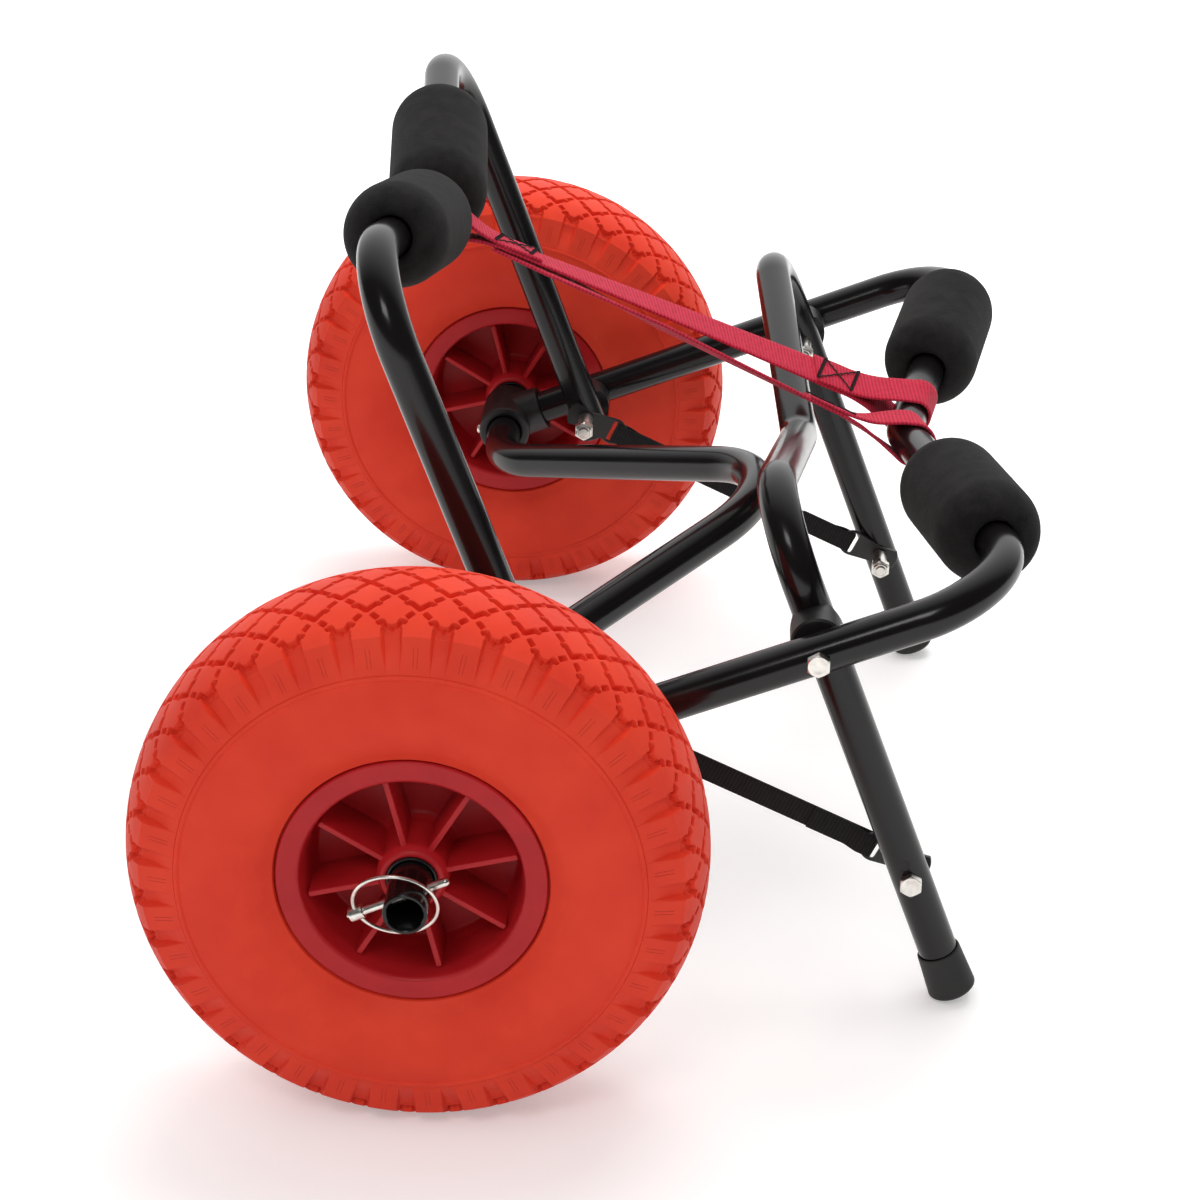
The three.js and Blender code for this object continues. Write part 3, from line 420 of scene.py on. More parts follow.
class Skin:
    """Grids of points gathered into one mesh. Each grid is a surface of rows by columns, closed
    by wrapping round or by a fan of triangles to the middle of its first and last row."""

    def __init__(self):
        self.points, self.quads, self.tris, self.uvs, self.tri_uvs = [], [], [], [], []
        self.count = 0

    def add(self, grid, wrap_rows=False, caps=False, uv=None, depth=None):
        """Adds a grid. Where depth is given, each cell is split along the diagonal whose ends lie
        at the closer depths, so that creases run along it."""
        grid = np.asarray(grid, float)
        rows, cols = grid.shape[:2]
        r, c = np.meshgrid(np.arange(rows if wrap_rows else rows - 1), np.arange(cols), indexing="ij")
        corner_rows = np.stack([r, r, r + 1, r + 1], -1).reshape(-1, 4)
        corner_cols = np.stack([c, c + 1, c + 1, c], -1).reshape(-1, 4)
        quads = (corner_rows % rows) * cols + corner_cols % cols
        points = grid.reshape(-1, 3)
        tris = np.zeros((0, 3), int)
        if caps:
            k = np.arange(cols)
            first, last = len(points), len(points) + 1
            points = np.concatenate([points, grid[0].mean(0)[None], grid[-1].mean(0)[None]])
            near = np.stack([np.full(cols, first), (k + 1) % cols, k], -1)
            base = (rows - 1) * cols
            far = np.stack([np.full(cols, last), base + k, base + (k + 1) % cols], -1)
            tris = np.concatenate([near, far])
        row_uv, col_uv = uv or (np.arange(rows + 1), np.arange(cols + 1))
        uvs = np.stack([np.asarray(col_uv)[corner_cols], np.asarray(row_uv)[corner_rows]], -1)
        tri_uvs = np.zeros((len(tris), 3, 2))
        if depth is not None:
            d = depth.ravel()[quads]
            along = np.abs(d[:, 0] - d[:, 2]) <= np.abs(d[:, 1] - d[:, 3])
            pick = np.where(along[:, None], [[0, 1, 2, 0, 2, 3]], [[1, 2, 3, 1, 3, 0]]).reshape(-1, 3)
            whose = np.repeat(np.arange(len(quads)), 2)[:, None]
            tris, tri_uvs = quads[whose, pick], uvs[whose, pick]
            quads, uvs = quads[:0], uvs[:0]
        middle = points.mean(0)
        faces = np.concatenate([tris, quads[:, [0, 1, 2]], quads[:, [0, 2, 3]]])
        p, q, w = (points[faces[:, i]] - middle for i in range(3))
        if (p * np.cross(q, w)).sum() < 0:
            quads, uvs, tris, tri_uvs = quads[:, ::-1], uvs[:, ::-1], tris[:, ::-1], tri_uvs[:, ::-1]
        self.points.append(points)
        self.quads.append(quads + self.count)
        self.tris.append(tris + self.count)
        self.uvs.append(uvs.reshape(-1, 2))
        self.tri_uvs.append(tri_uvs.reshape(-1, 2))
        self.count += len(points)
        return self

    def made(self, name, material, body, nodes=(), slot=None, sharp=35):
        """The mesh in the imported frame, riding on its body and standing for its CAD nodes."""
        quads, tris = np.concatenate(self.quads), np.concatenate(self.tris)
        loops = np.concatenate([quads.ravel(), tris.ravel()]).astype(np.int32)
        starts = np.concatenate([
            np.arange(len(quads)) * 4, quads.size + np.arange(len(tris)) * 3,
        ]).astype(np.int32)
        mesh = bpy.data.meshes.new(name)
        points = to_row(np.concatenate(self.points))
        mesh.vertices.add(len(points))
        mesh.vertices.foreach_set("co", points.ravel())
        mesh.loops.add(len(loops))
        mesh.loops.foreach_set("vertex_index", loops)
        mesh.polygons.add(len(starts))
        mesh.polygons.foreach_set("loop_start", starts)
        mesh.polygons.foreach_set("use_smooth", np.ones(len(starts), bool))
        mesh.update(calc_edges=True)
        mesh.validate()
        layer = mesh.uv_layers.new(name="surface")
        uvs = np.concatenate(self.uvs + self.tri_uvs)
        layer.data.foreach_set("uv", uvs.ravel())
        mesh.set_sharp_from_angle(angle=math.radians(sharp))
        mesh.materials.append(material)
        piece = bpy.data.objects.new(name, mesh)
        bpy.context.scene.collection.objects.link(piece)
        if body:
            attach(piece, body)
        if nodes:
            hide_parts(*nodes)
        return piece


def curve_through(points, steps):
    """A smooth curve through the points: on each span a cubic whose end slopes are the mean of the
    neighbouring spans' slopes over their own lengths, so that it neither overshoots nor kinks."""
    p = np.asarray(points, float)
    d = np.linalg.norm(np.diff(p, axis=0), axis=1)
    slope = np.diff(p, axis=0) / d[:, None]
    m = np.concatenate([slope[:1], (slope[:-1] * d[1:, None] + slope[1:] * d[:-1, None])
                        / (d[:-1] + d[1:])[:, None], slope[-1:]])
    out = [p[:1]]
    for i, n in enumerate(steps):
        t = (np.arange(1, n + 1) / n)[:, None]
        out.append((2 * t ** 3 - 3 * t ** 2 + 1) * p[i] + (t ** 3 - 2 * t ** 2 + t) * d[i] * m[i]
                   + (3 * t ** 2 - 2 * t ** 3) * p[i + 1] + (t ** 3 - t ** 2) * d[i] * m[i + 1])
    return np.concatenate(out)


def eased(points, radius, steps=3):
    """An outline with each inner corner cut back by radius, or by half of its shorter side, and
    replaced by a quadratic arc."""
    p = np.asarray(points, float)
    out = [p[0]]
    t = np.linspace(0, 1, steps + 1)[:, None]
    for before, at, after in zip(p[:-2], p[1:-1], p[2:]):
        into, away = at - before, after - at
        r = min(radius, np.linalg.norm(into) / 2, np.linalg.norm(away) / 2)
        a, b = at - unit(into) * r, at + unit(away) * r
        out.extend((1 - t) ** 2 * a + 2 * t * (1 - t) * at + t ** 2 * b)
    out.append(p[-1])
    return np.array(out)


def lathe(profile, origin, axis, columns, shape=None):
    """Profile rows of radius and height turned about an axis through origin: a point is the origin
    plus height along the axis plus radius times the cosine and sine of its angle across it."""
    profile = np.asarray(profile, float)
    axis = unit(axis)
    side = unit(np.cross(axis, [0, 0, 1] if abs(axis[2]) < 0.9 else [1, 0, 0]))
    up = np.cross(side, axis)
    angle = np.arange(columns) * 2 * math.pi / columns
    radius = np.broadcast_to(profile[:, :1], (len(profile), columns))
    height = np.broadcast_to(profile[:, 1:], (len(profile), columns))
    if shape is not None:
        radius, height = shape(angle[None, :], radius, height)
    return (np.asarray(origin, float) + height[..., None] * axis
            + (radius * np.cos(angle))[..., None] * side + (radius * np.sin(angle))[..., None] * up)


def bent(corners, radii, step=6):
    """A path of straight runs and round bends: each bend is a circular arc tangent to both runs,
    stepped every step degrees. Returns its points and their unit tangents."""
    p = np.asarray(corners, float)
    at, way = [p[0]], [unit(p[1] - p[0])]
    for i, r in enumerate(radii, 1):
        into, out = unit(p[i] - p[i - 1]), unit(p[i + 1] - p[i])
        turn = math.acos(np.clip(into @ out, -1, 1))
        side = unit(out - into * (out @ into))
        start = p[i] - into * r * math.tan(turn / 2)
        a = np.linspace(0, turn, max(2, math.ceil(math.degrees(turn) / step)) + 1)[:, None]
        at.extend(start + into * r * np.sin(a) + side * r * (1 - np.cos(a)))
        way.extend(into * np.cos(a) + side * np.sin(a))
    at.append(p[-1])
    way.append(unit(p[-1] - p[-2]))
    return np.array(at), np.array(way)


def tube(corners, radii, normal, outer, bore, depth, columns=56):
    """A round tube along a bent path that lies in one plane, open at both ends to a blind bore.
    A section is the path's point plus the radius round the tangent, from the plane's normal."""
    at, way = bent(corners, radii)
    lip = np.array([(depth, bore), (tube_lip, bore), (0, bore + tube_lip), (0, outer - tube_lip),
                    (tube_lip, outer)])
    near, far = at[:1] + way[:1] * lip[:, :1], at[-1:] - way[-1:] * lip[::-1, :1]
    at = np.concatenate([near, at[1:-1], far])
    r = np.concatenate([lip[:, 1], np.full(len(way) - 2, outer), lip[::-1, 1]])
    way = np.repeat(way, [len(lip)] + [1] * (len(way) - 2) + [len(lip)], 0)
    a = np.arange(columns) * 2 * math.pi / columns
    normal = unit(normal)
    side = unit(np.cross(way, normal))
    return (at[:, None] + (r[:, None] * np.cos(a))[..., None] * side[:, None]
            + (r[:, None] * np.sin(a))[..., None] * normal)


def wire(at, r, columns):
    """A round wire of radius r along a path of any shape: each section lies square to the
    tangent and is carried from the one before with the least turn."""
    at = np.asarray(at, float)
    way = unit(np.gradient(at, axis=0))
    side = np.zeros_like(at)
    side[0] = unit(np.cross(way[0], [0.31, 0.43, 0.85]))
    for i in range(1, len(at)):
        side[i] = unit(side[i - 1] - way[i] * (side[i - 1] @ way[i]))
    up = np.cross(way, side)
    a = np.arange(columns) * 2 * math.pi / columns
    return (at[:, None] + (r * np.cos(a))[:, None] * side[:, None]
            + (r * np.sin(a))[:, None] * up[:, None])


def slab(size, axes, origin, edge, n):
    """A closed box with eased edges: a rounded rectangle of the first two sizes, lofted along the
    third and drawn in by edge at both ends."""
    half = np.asarray(size, float) / 2
    a = np.linspace(0, math.pi / 2, n + 1)
    corner = np.stack([np.cos(a), np.sin(a)], -1) * edge
    ring = []
    for k, signs in enumerate(((1, 1), (-1, 1), (-1, -1), (1, -1))):
        c, s = math.cos(k * math.pi / 2), math.sin(k * math.pi / 2)
        ring.append(corner @ np.array([[c, s], [-s, c]]) + signs * (half[:2] - edge))
    ring = np.concatenate(ring)
    rows = []
    for z, inset in ((-half[2], edge), (-half[2] + edge, 0), (half[2] - edge, 0), (half[2], edge)):
        scale = 1 - inset / half[:2]
        rows.append(np.concatenate([ring * scale, np.full((len(ring), 1), z)], 1))
    return placed(np.array(rows), origin, axes)


def ribbon(at, wide, width, thick, across):
    """Flat tape: at each station a thin section with round edges, width along wide and thickness
    along the path's own normal, which is the tangent crossed with wide."""
    at, wide = np.asarray(at, float), unit(wide)
    way = unit(np.gradient(at, axis=0))
    wide = unit(wide - way * (wide * way).sum(-1, keepdims=True))
    normal = np.cross(way, wide)
    half, r = width / 2, thick / 2
    u = np.linspace(-half + r, half - r, across + 1)
    a = np.linspace(-math.pi / 2, math.pi / 2, 5)[1:-1]
    top = np.stack([u, np.full_like(u, r)], -1)
    right = np.stack([half - r + r * np.cos(-a), -r * np.sin(a)], -1)
    bottom = np.stack([u[::-1], np.full_like(u, -r)], -1)
    left = np.stack([-half + r - r * np.cos(a), r * np.sin(a)], -1)
    ring = np.concatenate([top, right, bottom, left])
    grid = at[:, None] + ring[None, :, :1] * wide[:, None] + ring[None, :, 1:] * normal[:, None]
    length = np.r_[0, np.cumsum(np.linalg.norm(np.diff(at, axis=0), axis=1))]
    return grid, (np.r_[length, length[-1]], np.r_[ring[:, 0], ring[0, 0]])


# Places that the pieces share

def arm_axes(angle):
    """Unit vectors of a frame's own X, up its arms, its own Y, along the axle, and its own Z."""
    c, s = math.cos(angle), math.sin(angle)
    return np.array([[c, 0, s], [0, 1, 0], [-s, 0, c]])


axle_mid = np.array([0, 0, axle_height])
front_axes, rear_axes, stand_axes = map(arm_axes, (front_slope, rear_angle, stand_angle))
rear_pivot = axle_mid + front_axes[0] * rear_pivot_reach
stand_pivot = axle_mid + front_axes[0] * stand_pivot_reach
strap_bolt = stand_pivot - stand_axes[0] * strap_bolt_drop
strap_run = strap_bolt - rear_pivot
strap_length = np.linalg.norm(strap_run)
strap_x = strap_run / strap_length
strap_axes = np.array([strap_x, [0, 1, 0], np.cross(strap_x, [0, 1, 0])])
front_outside = front_half_span + tube_r
front_inside = front_half_span - tube_r - gap
inner_outside = inner_half_span + tube_r
inner_inside = inner_half_span - tube_r - gap
bracket_inside = inner_inside - bracket_t


def placed(local, origin, axes):
    """Points in a frame's own coordinates, in the working frame."""
    return np.asarray(origin, float) + np.asarray(local, float) @ np.asarray(axes, float)


# Wheels

def tread_line():
    """One half of the tread's outer line from its middle to the foot of the lugs, as radius and
    offset rows: a curve through its main points, with a row at each step of the groove lattice,
    a sharp edge at the shoulder and a straight lug face. Returns it with the edge's row."""
    tread = curve_through([(130, 0), (129.5, 9), (127.1, 20.5), (123.2, 29), (119.6, 33.6)], (24,) * 4)
    length = np.r_[0, np.cumsum(np.linalg.norm(np.diff(tread, axis=0), axis=1))]
    rows = np.arange(0, length[-1] - 0.3, groove_pitch / pitch_rows)
    rows = np.r_[rows, length[-1]]
    line = np.stack([np.interp(rows, length, tread[:, i]) for i in (0, 1)], -1)
    face = np.linspace((119.6, 33.6), (103.6, 37.7), 6)[1:]
    return np.concatenate([line, face]), len(line) - 1


def groove_runs():
    """Centre lines of the grooves in one half pitch, as segments from and to a place given by the
    way round from a flat groove's middle and the way out from the crown, each with its half width.
    Each crossing has two arms toward the crown that end in a nib turned outward, and past a bridge
    of skin a short dash leads on to the next crossing. The outermost row is flat at its middle."""
    h = math.radians(180 / lug_count) * tread_r
    q = groove_pitch
    crown, second, third, last = (np.array(p, float) for p in ((h, 0), (0, q), (h, 2 * q), (0, 3 * q)))
    runs = []

    def part(a, b, t0, t1, half):
        runs.append((*(a + (b - a) * t0), *(a + (b - a) * t1), half))

    def nib(end, side):
        runs.append((*end, end[0] + side * nib_aside, end[1] + nib_out, nib_half))

    for a, b, side in ((third, second, -1), (second, crown, 1)):
        part(a, b, 0, arm_share, groove_half)
        nib(a + (b - a) * nib_share, side)
        part(a, b, dash_share, 1 if b is crown else 0.8, dash_half)
        runs.append((*a, a[0], a[1] + 1.1, 1.0))
    part(last, third, 0.57, 0.78, dash_half)
    flat_end = (flat_half, 3 * q - flat_inset)
    arm_end = np.array([4.7, 3 * q - 4.7])
    runs.append((0, flat_end[1], flat_half + 0.6, flat_end[1], groove_half))
    runs.append((*flat_end, *arm_end, groove_half * 0.9))
    nib(arm_end + (-0.3, 0.5), 1)
    return runs


def ramp(x, low, high):
    """0 below low, 1 above high, and a smooth cubic between them."""
    t = np.clip((x - low) / (high - low), 0, 1)
    return t * t * (3 - 2 * t)


def tread_half(station, face):
    """Half of the tread, from the crown to the foot of the lugs, closed inside the carcass. Depth
    below its outer line is the deeper of the grooves, full within their half width of a centre line
    and cut square at their ends, and the valleys between the lugs, which narrow and run out to
    nothing toward the lugs' foot."""
    line, edge = tread_line()
    out = np.r_[0, np.cumsum(np.linalg.norm(np.diff(line, axis=0), axis=1))]
    columns = lug_count * lug_columns
    angle = np.arange(columns) * 2 * math.pi / columns
    pitch = 2 * math.pi / lug_count
    x = np.abs((angle % pitch) - pitch / 2) * tread_r
    x, y = np.meshgrid(x, out)
    groove = np.zeros_like(x)
    for x0, y0, x1, y1, half in groove_runs():
        length = math.hypot(x1 - x0, y1 - y0)
        run = np.array([x1 - x0, y1 - y0]) / length
        along = (x - x0) * run[0] + (y - y0) * run[1]
        aside = np.abs((x - x0) * run[1] - (y - y0) * run[0])
        past = np.maximum(aside - half, np.maximum(-along, along - length))
        groove = np.maximum(groove, 1 - ramp(past, -groove_wall / 2, groove_wall / 2))
    inner = 3 * groove_pitch - flat_inset
    deep = ramp(out, inner, inner + valley_end) * (1 - ramp(out, out[edge] + valley_from, out[-1]))
    half = valley_top_half + (valley_foot_half - valley_top_half) * ramp(out, inner, out[-1])[:, None]
    valley = deep[:, None] * (1 - ramp(x, half - valley_wall / 2, half + valley_wall / 2))
    depth = np.maximum(groove * groove_depth, valley * valley_depth)
    way_out = np.gradient(line, axis=0)
    way_out[0] = (0, 1)
    normal = unit(np.stack([way_out[:, 1], -way_out[:, 0]], -1))
    r = line[:, :1] - normal[:, :1] * depth
    w = line[:, 1:] - normal[:, 1:] * depth
    hidden = np.array([(122.5, 0), (100, 33)])[:, :, None] + np.zeros((2, 2, columns))
    r = np.concatenate([hidden[:1, 0], r, hidden[1:, 0]])
    w = np.concatenate([hidden[:1, 1], w, hidden[1:, 1]]) * face
    depth = np.concatenate([np.zeros((1, columns)), depth, np.zeros((1, columns))])
    turn = angle + lug_turn
    grid = np.stack([r * np.sin(turn), station + w, axle_height + r * np.cos(turn)], -1)
    return grid, depth, (np.r_[-1, out, out[-1] + 2, out[-1] + 3], np.arange(columns + 1) / lug_columns)


def carcass_line():
    """The tyre under its tread, with the thin ridge at the lugs' foot, the side wall as a curve
    through its main points, and the bead that the rim's flange holds."""
    under = [(125.4, 0), (124.9, 12), (122, 22), (117.5, 28.5), (112, 32.2), (104.3, 35.4),
             (103.7, 37.0)]
    ridge = [(103.2, 38.15), (102.6, 38.5), (101.9, 38.5), (101.2, 38.1)]
    wall = curve_through([(100.9, 37.9), (91, 40.2), (79, 40.4), (68, 37.4), (61, 32.8)], (5, 5, 4, 4))
    bead = [(60.4, 31.2), (60.2, tyre_hold), (tyre_bore_r + 0.4, tyre_hold)]
    half = np.array([*under, *ridge, *wall, *bead])
    return np.concatenate([half[::-1], half[1:] * (1, -1)])


def rim_outline():
    """One side of the rim's section as radius and offset rows, from the barrel under the tyre over
    the flange, down the pocket's wall, along the web and up the hub to the bush's seat."""
    outline = [
        (tyre_bore_r - 0.3, 0), (tyre_bore_r - 0.3, 30), (flange_r - 0.4, 30.0),
        (flange_r, 31.4), (flange_r - 0.6, rim_half_width),
        (flange_opening_r + 1.2, rim_half_width - 0.3), (flange_opening_r, rim_half_width - 1.6),
        (48.0, 24), (wall_r + 0.3, 8), (wall_r - 1.5, web_half), (hub_r + 3.4, web_half),
        (hub_r + 1.2, web_half + 3), (hub_r + 0.5, hub_half_width - 4),
        (hub_r - 1.6, hub_half_width), (bush_r + 0.1, hub_half_width), (bush_r + 0.1, 9),
        (axle_r + 0.6, 8.5), (axle_r + 0.6, 0),
    ]
    return eased(outline, 1.2, 4)


def wheel(side, way):
    """One wheel's tyre, rim with ribs, and bushes."""
    station = way * wheel_station
    centre = (0, station, axle_height)
    body = f"{side}_wheel"
    carcass = lathe(carcass_line(), centre, (0, 1, 0), 140)
    blank = (np.zeros(len(carcass) + 1), np.zeros(carcass.shape[1] + 1))
    Skin().add(carcass, wrap_rows=True, uv=blank).made(
        f"{side}_tyre_moulding", tyre_skin, body, [f"{side}_tyre"], "tyre_orange", 24)
    for label, face in (("outer", way), ("inner", -way)):
        grid, depth, uv = tread_half(station, face)
        Skin().add(grid, wrap_rows=True, uv=uv, depth=depth).made(
            f"{side}_{label}_tread", tyre_skin, body, [f"{side}_tyre"], "tyre_orange", 18)

    half = rim_outline()
    section = np.concatenate([half[::-1], half[1:-1] * (1, -1)])
    rim = Skin().add(lathe(section, centre, (0, 1, 0), 160), wrap_rows=True)
    for k in range(rib_count):
        a = rib_turn + k * 2 * math.pi / rib_count
        out_way = np.array([math.sin(a), 0, math.cos(a)])
        axes = np.array([np.cross(out_way, [0, 1, 0]), [0, 1, 0], out_way])
        for face in (1, -1):
            size = (rib_t, rib_half_width - web_half + 1, wall_r - hub_r + 2.2)
            middle = station + face * (rib_half_width + web_half - 1) / 2
            place = out_way * (hub_r + wall_r) / 2 + (0, middle, axle_height)
            rim.add(slab(size, axes, place, rib_edge, 3), caps=True)
    rim.made(f"{side}_rim_moulding", rim_skin, body, [f"{side}_rim"], "rim_red", 30)

    for label, face in (("outer", 1), ("inner", -1)):
        end = hub_half_width + bush_stand_out
        start, bore_r = end - bush_length, axle_r + 0.3
        profile = eased([(bore_r, start), (bush_r, start), (bush_r, end), (bore_r, end),
                         (bore_r, start)], 0.5)[:-1]
        bush = lathe(profile, centre, (0, way * face, 0), 64)
        Skin().add(bush, wrap_rows=True).made(
            f"{side}_{label}_bush_ring", nylon, body, [f"{side}_{label}_bush"], "plastic_black")


for side, way in SIDES:
    wheel(side, way)

# Axle and frames

apex = np.array([apex_reach, 0, axle_height + apex_rise])
slope = unit(apex - axle_mid)
axle_corners = [(0, -axle_end, axle_height), (0, -elbow_station, axle_height), apex,
                (0, elbow_station, axle_height), (0, axle_end, axle_height)]
axle_grid = tube(axle_corners, (axle_bend_r,) * 3, np.cross(slope, [0, 1, 0]), axle_r, axle_bore_r,
                 axle_bore_depth)
Skin().add(axle_grid, caps=True).made("bent_axle", coat, "chassis", ["axle"], "tube_black")

# A frame's origin, its axes, how far its corners and the middle of its V are, and half its span
front_run = (axle_mid, front_axes, front_corner, front_vertex, front_half_span)
rear_run = (rear_pivot, rear_axes, rear_corner, rear_vertex, inner_half_span)
stand_run = (stand_pivot, stand_axes, stand_corner, stand_vertex, inner_half_span)


def frame_corners(run, start):
    """Where a frame's straight runs meet: up one arm, along the shallow V and down the other arm."""
    origin, axes, corner, vertex, half_span = run
    local = [(start, -half_span, 0), (corner, -half_span, 0), (vertex, 0, 0),
             (corner, half_span, 0), (start, half_span, 0)]
    return placed(local, origin, axes)


for name, body, node, run, start, bend_r, bore_depth in (
    ("front_frame_tube", "chassis", "front_cradle_frame", front_run, front_start,
     front_corner_bend_r, tube_bore_depth),
    ("rear_frame_tube", "rear_cradle", "rear_cradle_frame", rear_run, -rear_tail,
     rear_corner_bend_r, rear_bore_depth),
    ("kickstand_tube", "kickstand", "kickstand_frame", stand_run, foot_floor_t - stand_leg,
     stand_corner_bend_r, tube_bore_depth),
):
    frame_grid = tube(frame_corners(run, start), (bend_r, vertex_bend_r, bend_r), run[1][2],
                      tube_r, tube_bore_r, bore_depth)
    Skin().add(frame_grid, caps=True).made(name, coat, body, [node], "tube_black")

# Spare holes: just above the straps' bolts, on the legs' outer faces, each a flat black disc in the
# rubber finish, painted shade that stands for the hole's dark mouth
for side, way in SIDES:
    hole_at = stand_pivot - stand_axes[0] * (strap_bolt_drop - spare_hole_rise)
    profile = [(pole, -2.2), (spare_hole_r - 0.4, -2.2), (spare_hole_r, -0.3),
               (spare_hole_r - 0.2, 0.06), (pole, 0.02)]
    grid = lathe(profile, hole_at + (0, way * inner_outside, 0), (0, way, 0), 32)
    Skin().add(grid, caps=True).made(f"{side}_spare_hole", rubber, "kickstand", (), "rubber_black")

# Fittings on the axle
for side, way in SIDES:
    at = np.array([0, way * front_half_span, axle_height])
    hole_r = axle_r + 0.2
    barrel = eased([
        (hole_r, 3 - fitting_half), (hole_r, -fitting_half), (fitting_r, -fitting_half),
        (fitting_r, fitting_half), (hole_r, fitting_half), (hole_r, fitting_half - 3),
    ], 1.6, 4)
    mouth_r = tube_r + 0.1
    socket = eased([(pole, 4), (socket_r, 4), (socket_r, socket_end), (mouth_r, socket_end),
                    (mouth_r, socket_end - 4)], 1.2, 4)
    Skin().add(lathe(barrel, at, (0, 1, 0), 64), caps=True).add(
        lathe(socket, at, front_axes[0], 64), caps=True).made(
        f"{side}_tee_fitting", nylon, "chassis", [f"{side}_axle_fitting"], "plastic_black")
    top = fitting_r + screw_head_h
    head = eased([(pole, fitting_r - 0.6), (screw_head_r, fitting_r - 0.6),
                  (screw_head_r, fitting_r + 0.9), (screw_head_r * 0.6, top), (pole, top)], 0.5)
    grid = lathe(head, at - (0, way * screw_inset, 0), (-1, 0, 0), 32)
    Skin().add(grid, caps=True).made(
        f"{side}_locking_screw", zinc, "chassis", [f"{side}_fitting_screw"], "zinc")

# Pivot hardware

hex_corner = hex_flat / math.cos(math.pi / 6)


def hexagon(top):
    """A shape for lathe rows that reach a hexagon's corners: their radius becomes the flat's over
    the cosine of the angle from the flat's middle, and those at the top drop by a thirty-degree
    chamfer where the hexagon passes the circle that just fits inside its flats."""
    def shape(angle, radius, height):
        from_flat = (angle + math.pi / 6) % (math.pi / 3) - math.pi / 6
        hexed = hex_flat / np.cos(from_flat)
        fall = np.maximum(0, hexed - hex_flat * 0.97) * math.tan(math.radians(30))
        on_edge = radius >= hex_corner
        chamfered = np.where(on_edge & (height >= top), top - fall, height)
        return np.where(on_edge, hexed, radius), chamfered
    return shape


def bolt(at, y_out, y_tip, way):
    """A hexagon bolt along Y: a chamfered head with a shallow dish, and a shank to its tip."""
    h = bolt_head_h
    tip = y_tip - y_out + h
    rows = [(pole, h - 0.25), (hex_flat * 0.6, h - 0.25), (hex_flat * 0.72, h),
            (hex_flat * 0.97, h), (hex_corner, h), (hex_corner, 0.35), (hex_flat * 0.95, 0),
            (bolt_r, 0), (bolt_r, tip + 0.5), (bolt_r - 0.5, tip), (pole, tip)]
    return lathe(rows, (at[0], way * (y_out - h), at[2]), (0, way, 0), 96, hexagon(h))


def sleeve(at, y_out, way):
    """A plain turned sleeve on the bolt."""
    rows = eased([(pole, 0), (sleeve_r, 0), (sleeve_r, sleeve_length), (pole, sleeve_length)], 0.4)
    return lathe(rows, (at[0], way * y_out, at[2]), (0, -way, 0), 40)


def lock_nut(at, y_out, way):
    """A lock nut: a chamfered hexagon against the sleeve, then a round collar with its ring."""
    top = nut_h + nut_collar_h
    rows = [(pole, 0), (hex_flat * 0.95, 0), (hex_corner, 0.3), (hex_corner, nut_h),
            (hex_flat * 0.97, nut_h), (nut_collar_r + 0.3, nut_h), (nut_collar_r, nut_h + 0.4),
            (nut_collar_r, top - 0.4), (nut_collar_r - 0.5, top), (bolt_r + 0.4, top),
            (bolt_r + 0.3, top - 0.6), (pole, top - 0.6)]
    return lathe(rows, (at[0], way * y_out, at[2]), (0, -way, 0), 96, hexagon(nut_h))


pivots = (
    ("rear_pivot", rear_pivot, front_outside, bracket_inside, "chassis"),
    ("stand_pivot", stand_pivot, front_outside, inner_inside, "chassis"),
    ("strap", strap_bolt, inner_outside, bracket_inside, "kickstand"),
)
spacer_inner = inner_outside - spacer_lip


def saddle(angle, radius, height):
    """A shape for a spacer's inner end: no lower than a round surface of the tube's own size,
    whose height falls from the crown as a circle does with the radius times the sine."""
    across = np.minimum((radius * np.sin(angle)) ** 2, tube_r ** 2)
    seat = inner_half_span + np.sqrt(np.maximum(0, (tube_r + 0.2) ** 2 - across))
    return radius, np.where(height <= spacer_inner + 0.01, np.maximum(height, seat), height)


spacer_rows = [(pole, spacer_inner), (4, spacer_inner), (8, spacer_inner),
               (spacer_r - 1, spacer_inner), (spacer_r, spacer_inner + 0.01),
               (spacer_r, front_inside - 1), (spacer_r - 1, front_inside), (pole, front_inside)]
for side, way in SIDES:
    for label, place, outside, sleeve_out, body in pivots:
        sleeve_from = sleeve_out - gap
        nut_from = sleeve_from - sleeve_length - gap
        tip = nut_from - nut_h - nut_collar_h - bolt_tip
        for kind, grid in (
            ("bolt", bolt(place, outside + gap + bolt_head_h, tip, way)),
            ("sleeve", sleeve(place, sleeve_from, way)),
            ("nut", lock_nut(place, nut_from, way)),
        ):
            Skin().add(grid, caps=True).made(
                f"{side}_{label}_{kind}_turned", zinc, body, [f"{side}_{label}_{kind}"], "zinc", 28)
    for label, place, axes, body in (("rear", rear_pivot, rear_axes, "rear_cradle"),
                                     ("stand", stand_pivot, stand_axes, "kickstand")):
        basis = np.array([axes[0], np.cross([0, way, 0], axes[0]) * way, [0, way, 0]])
        grid = placed(lathe(spacer_rows, (0, 0, 0), (0, 0, 1), 72, saddle), place, basis)
        Skin().add(grid, caps=True).made(f"{side}_{label}_spacer_moulding", nylon, body,
                                         [f"{side}_{label}_pivot_spacer"], "plastic_black", 30)

# Brackets and kickstand straps


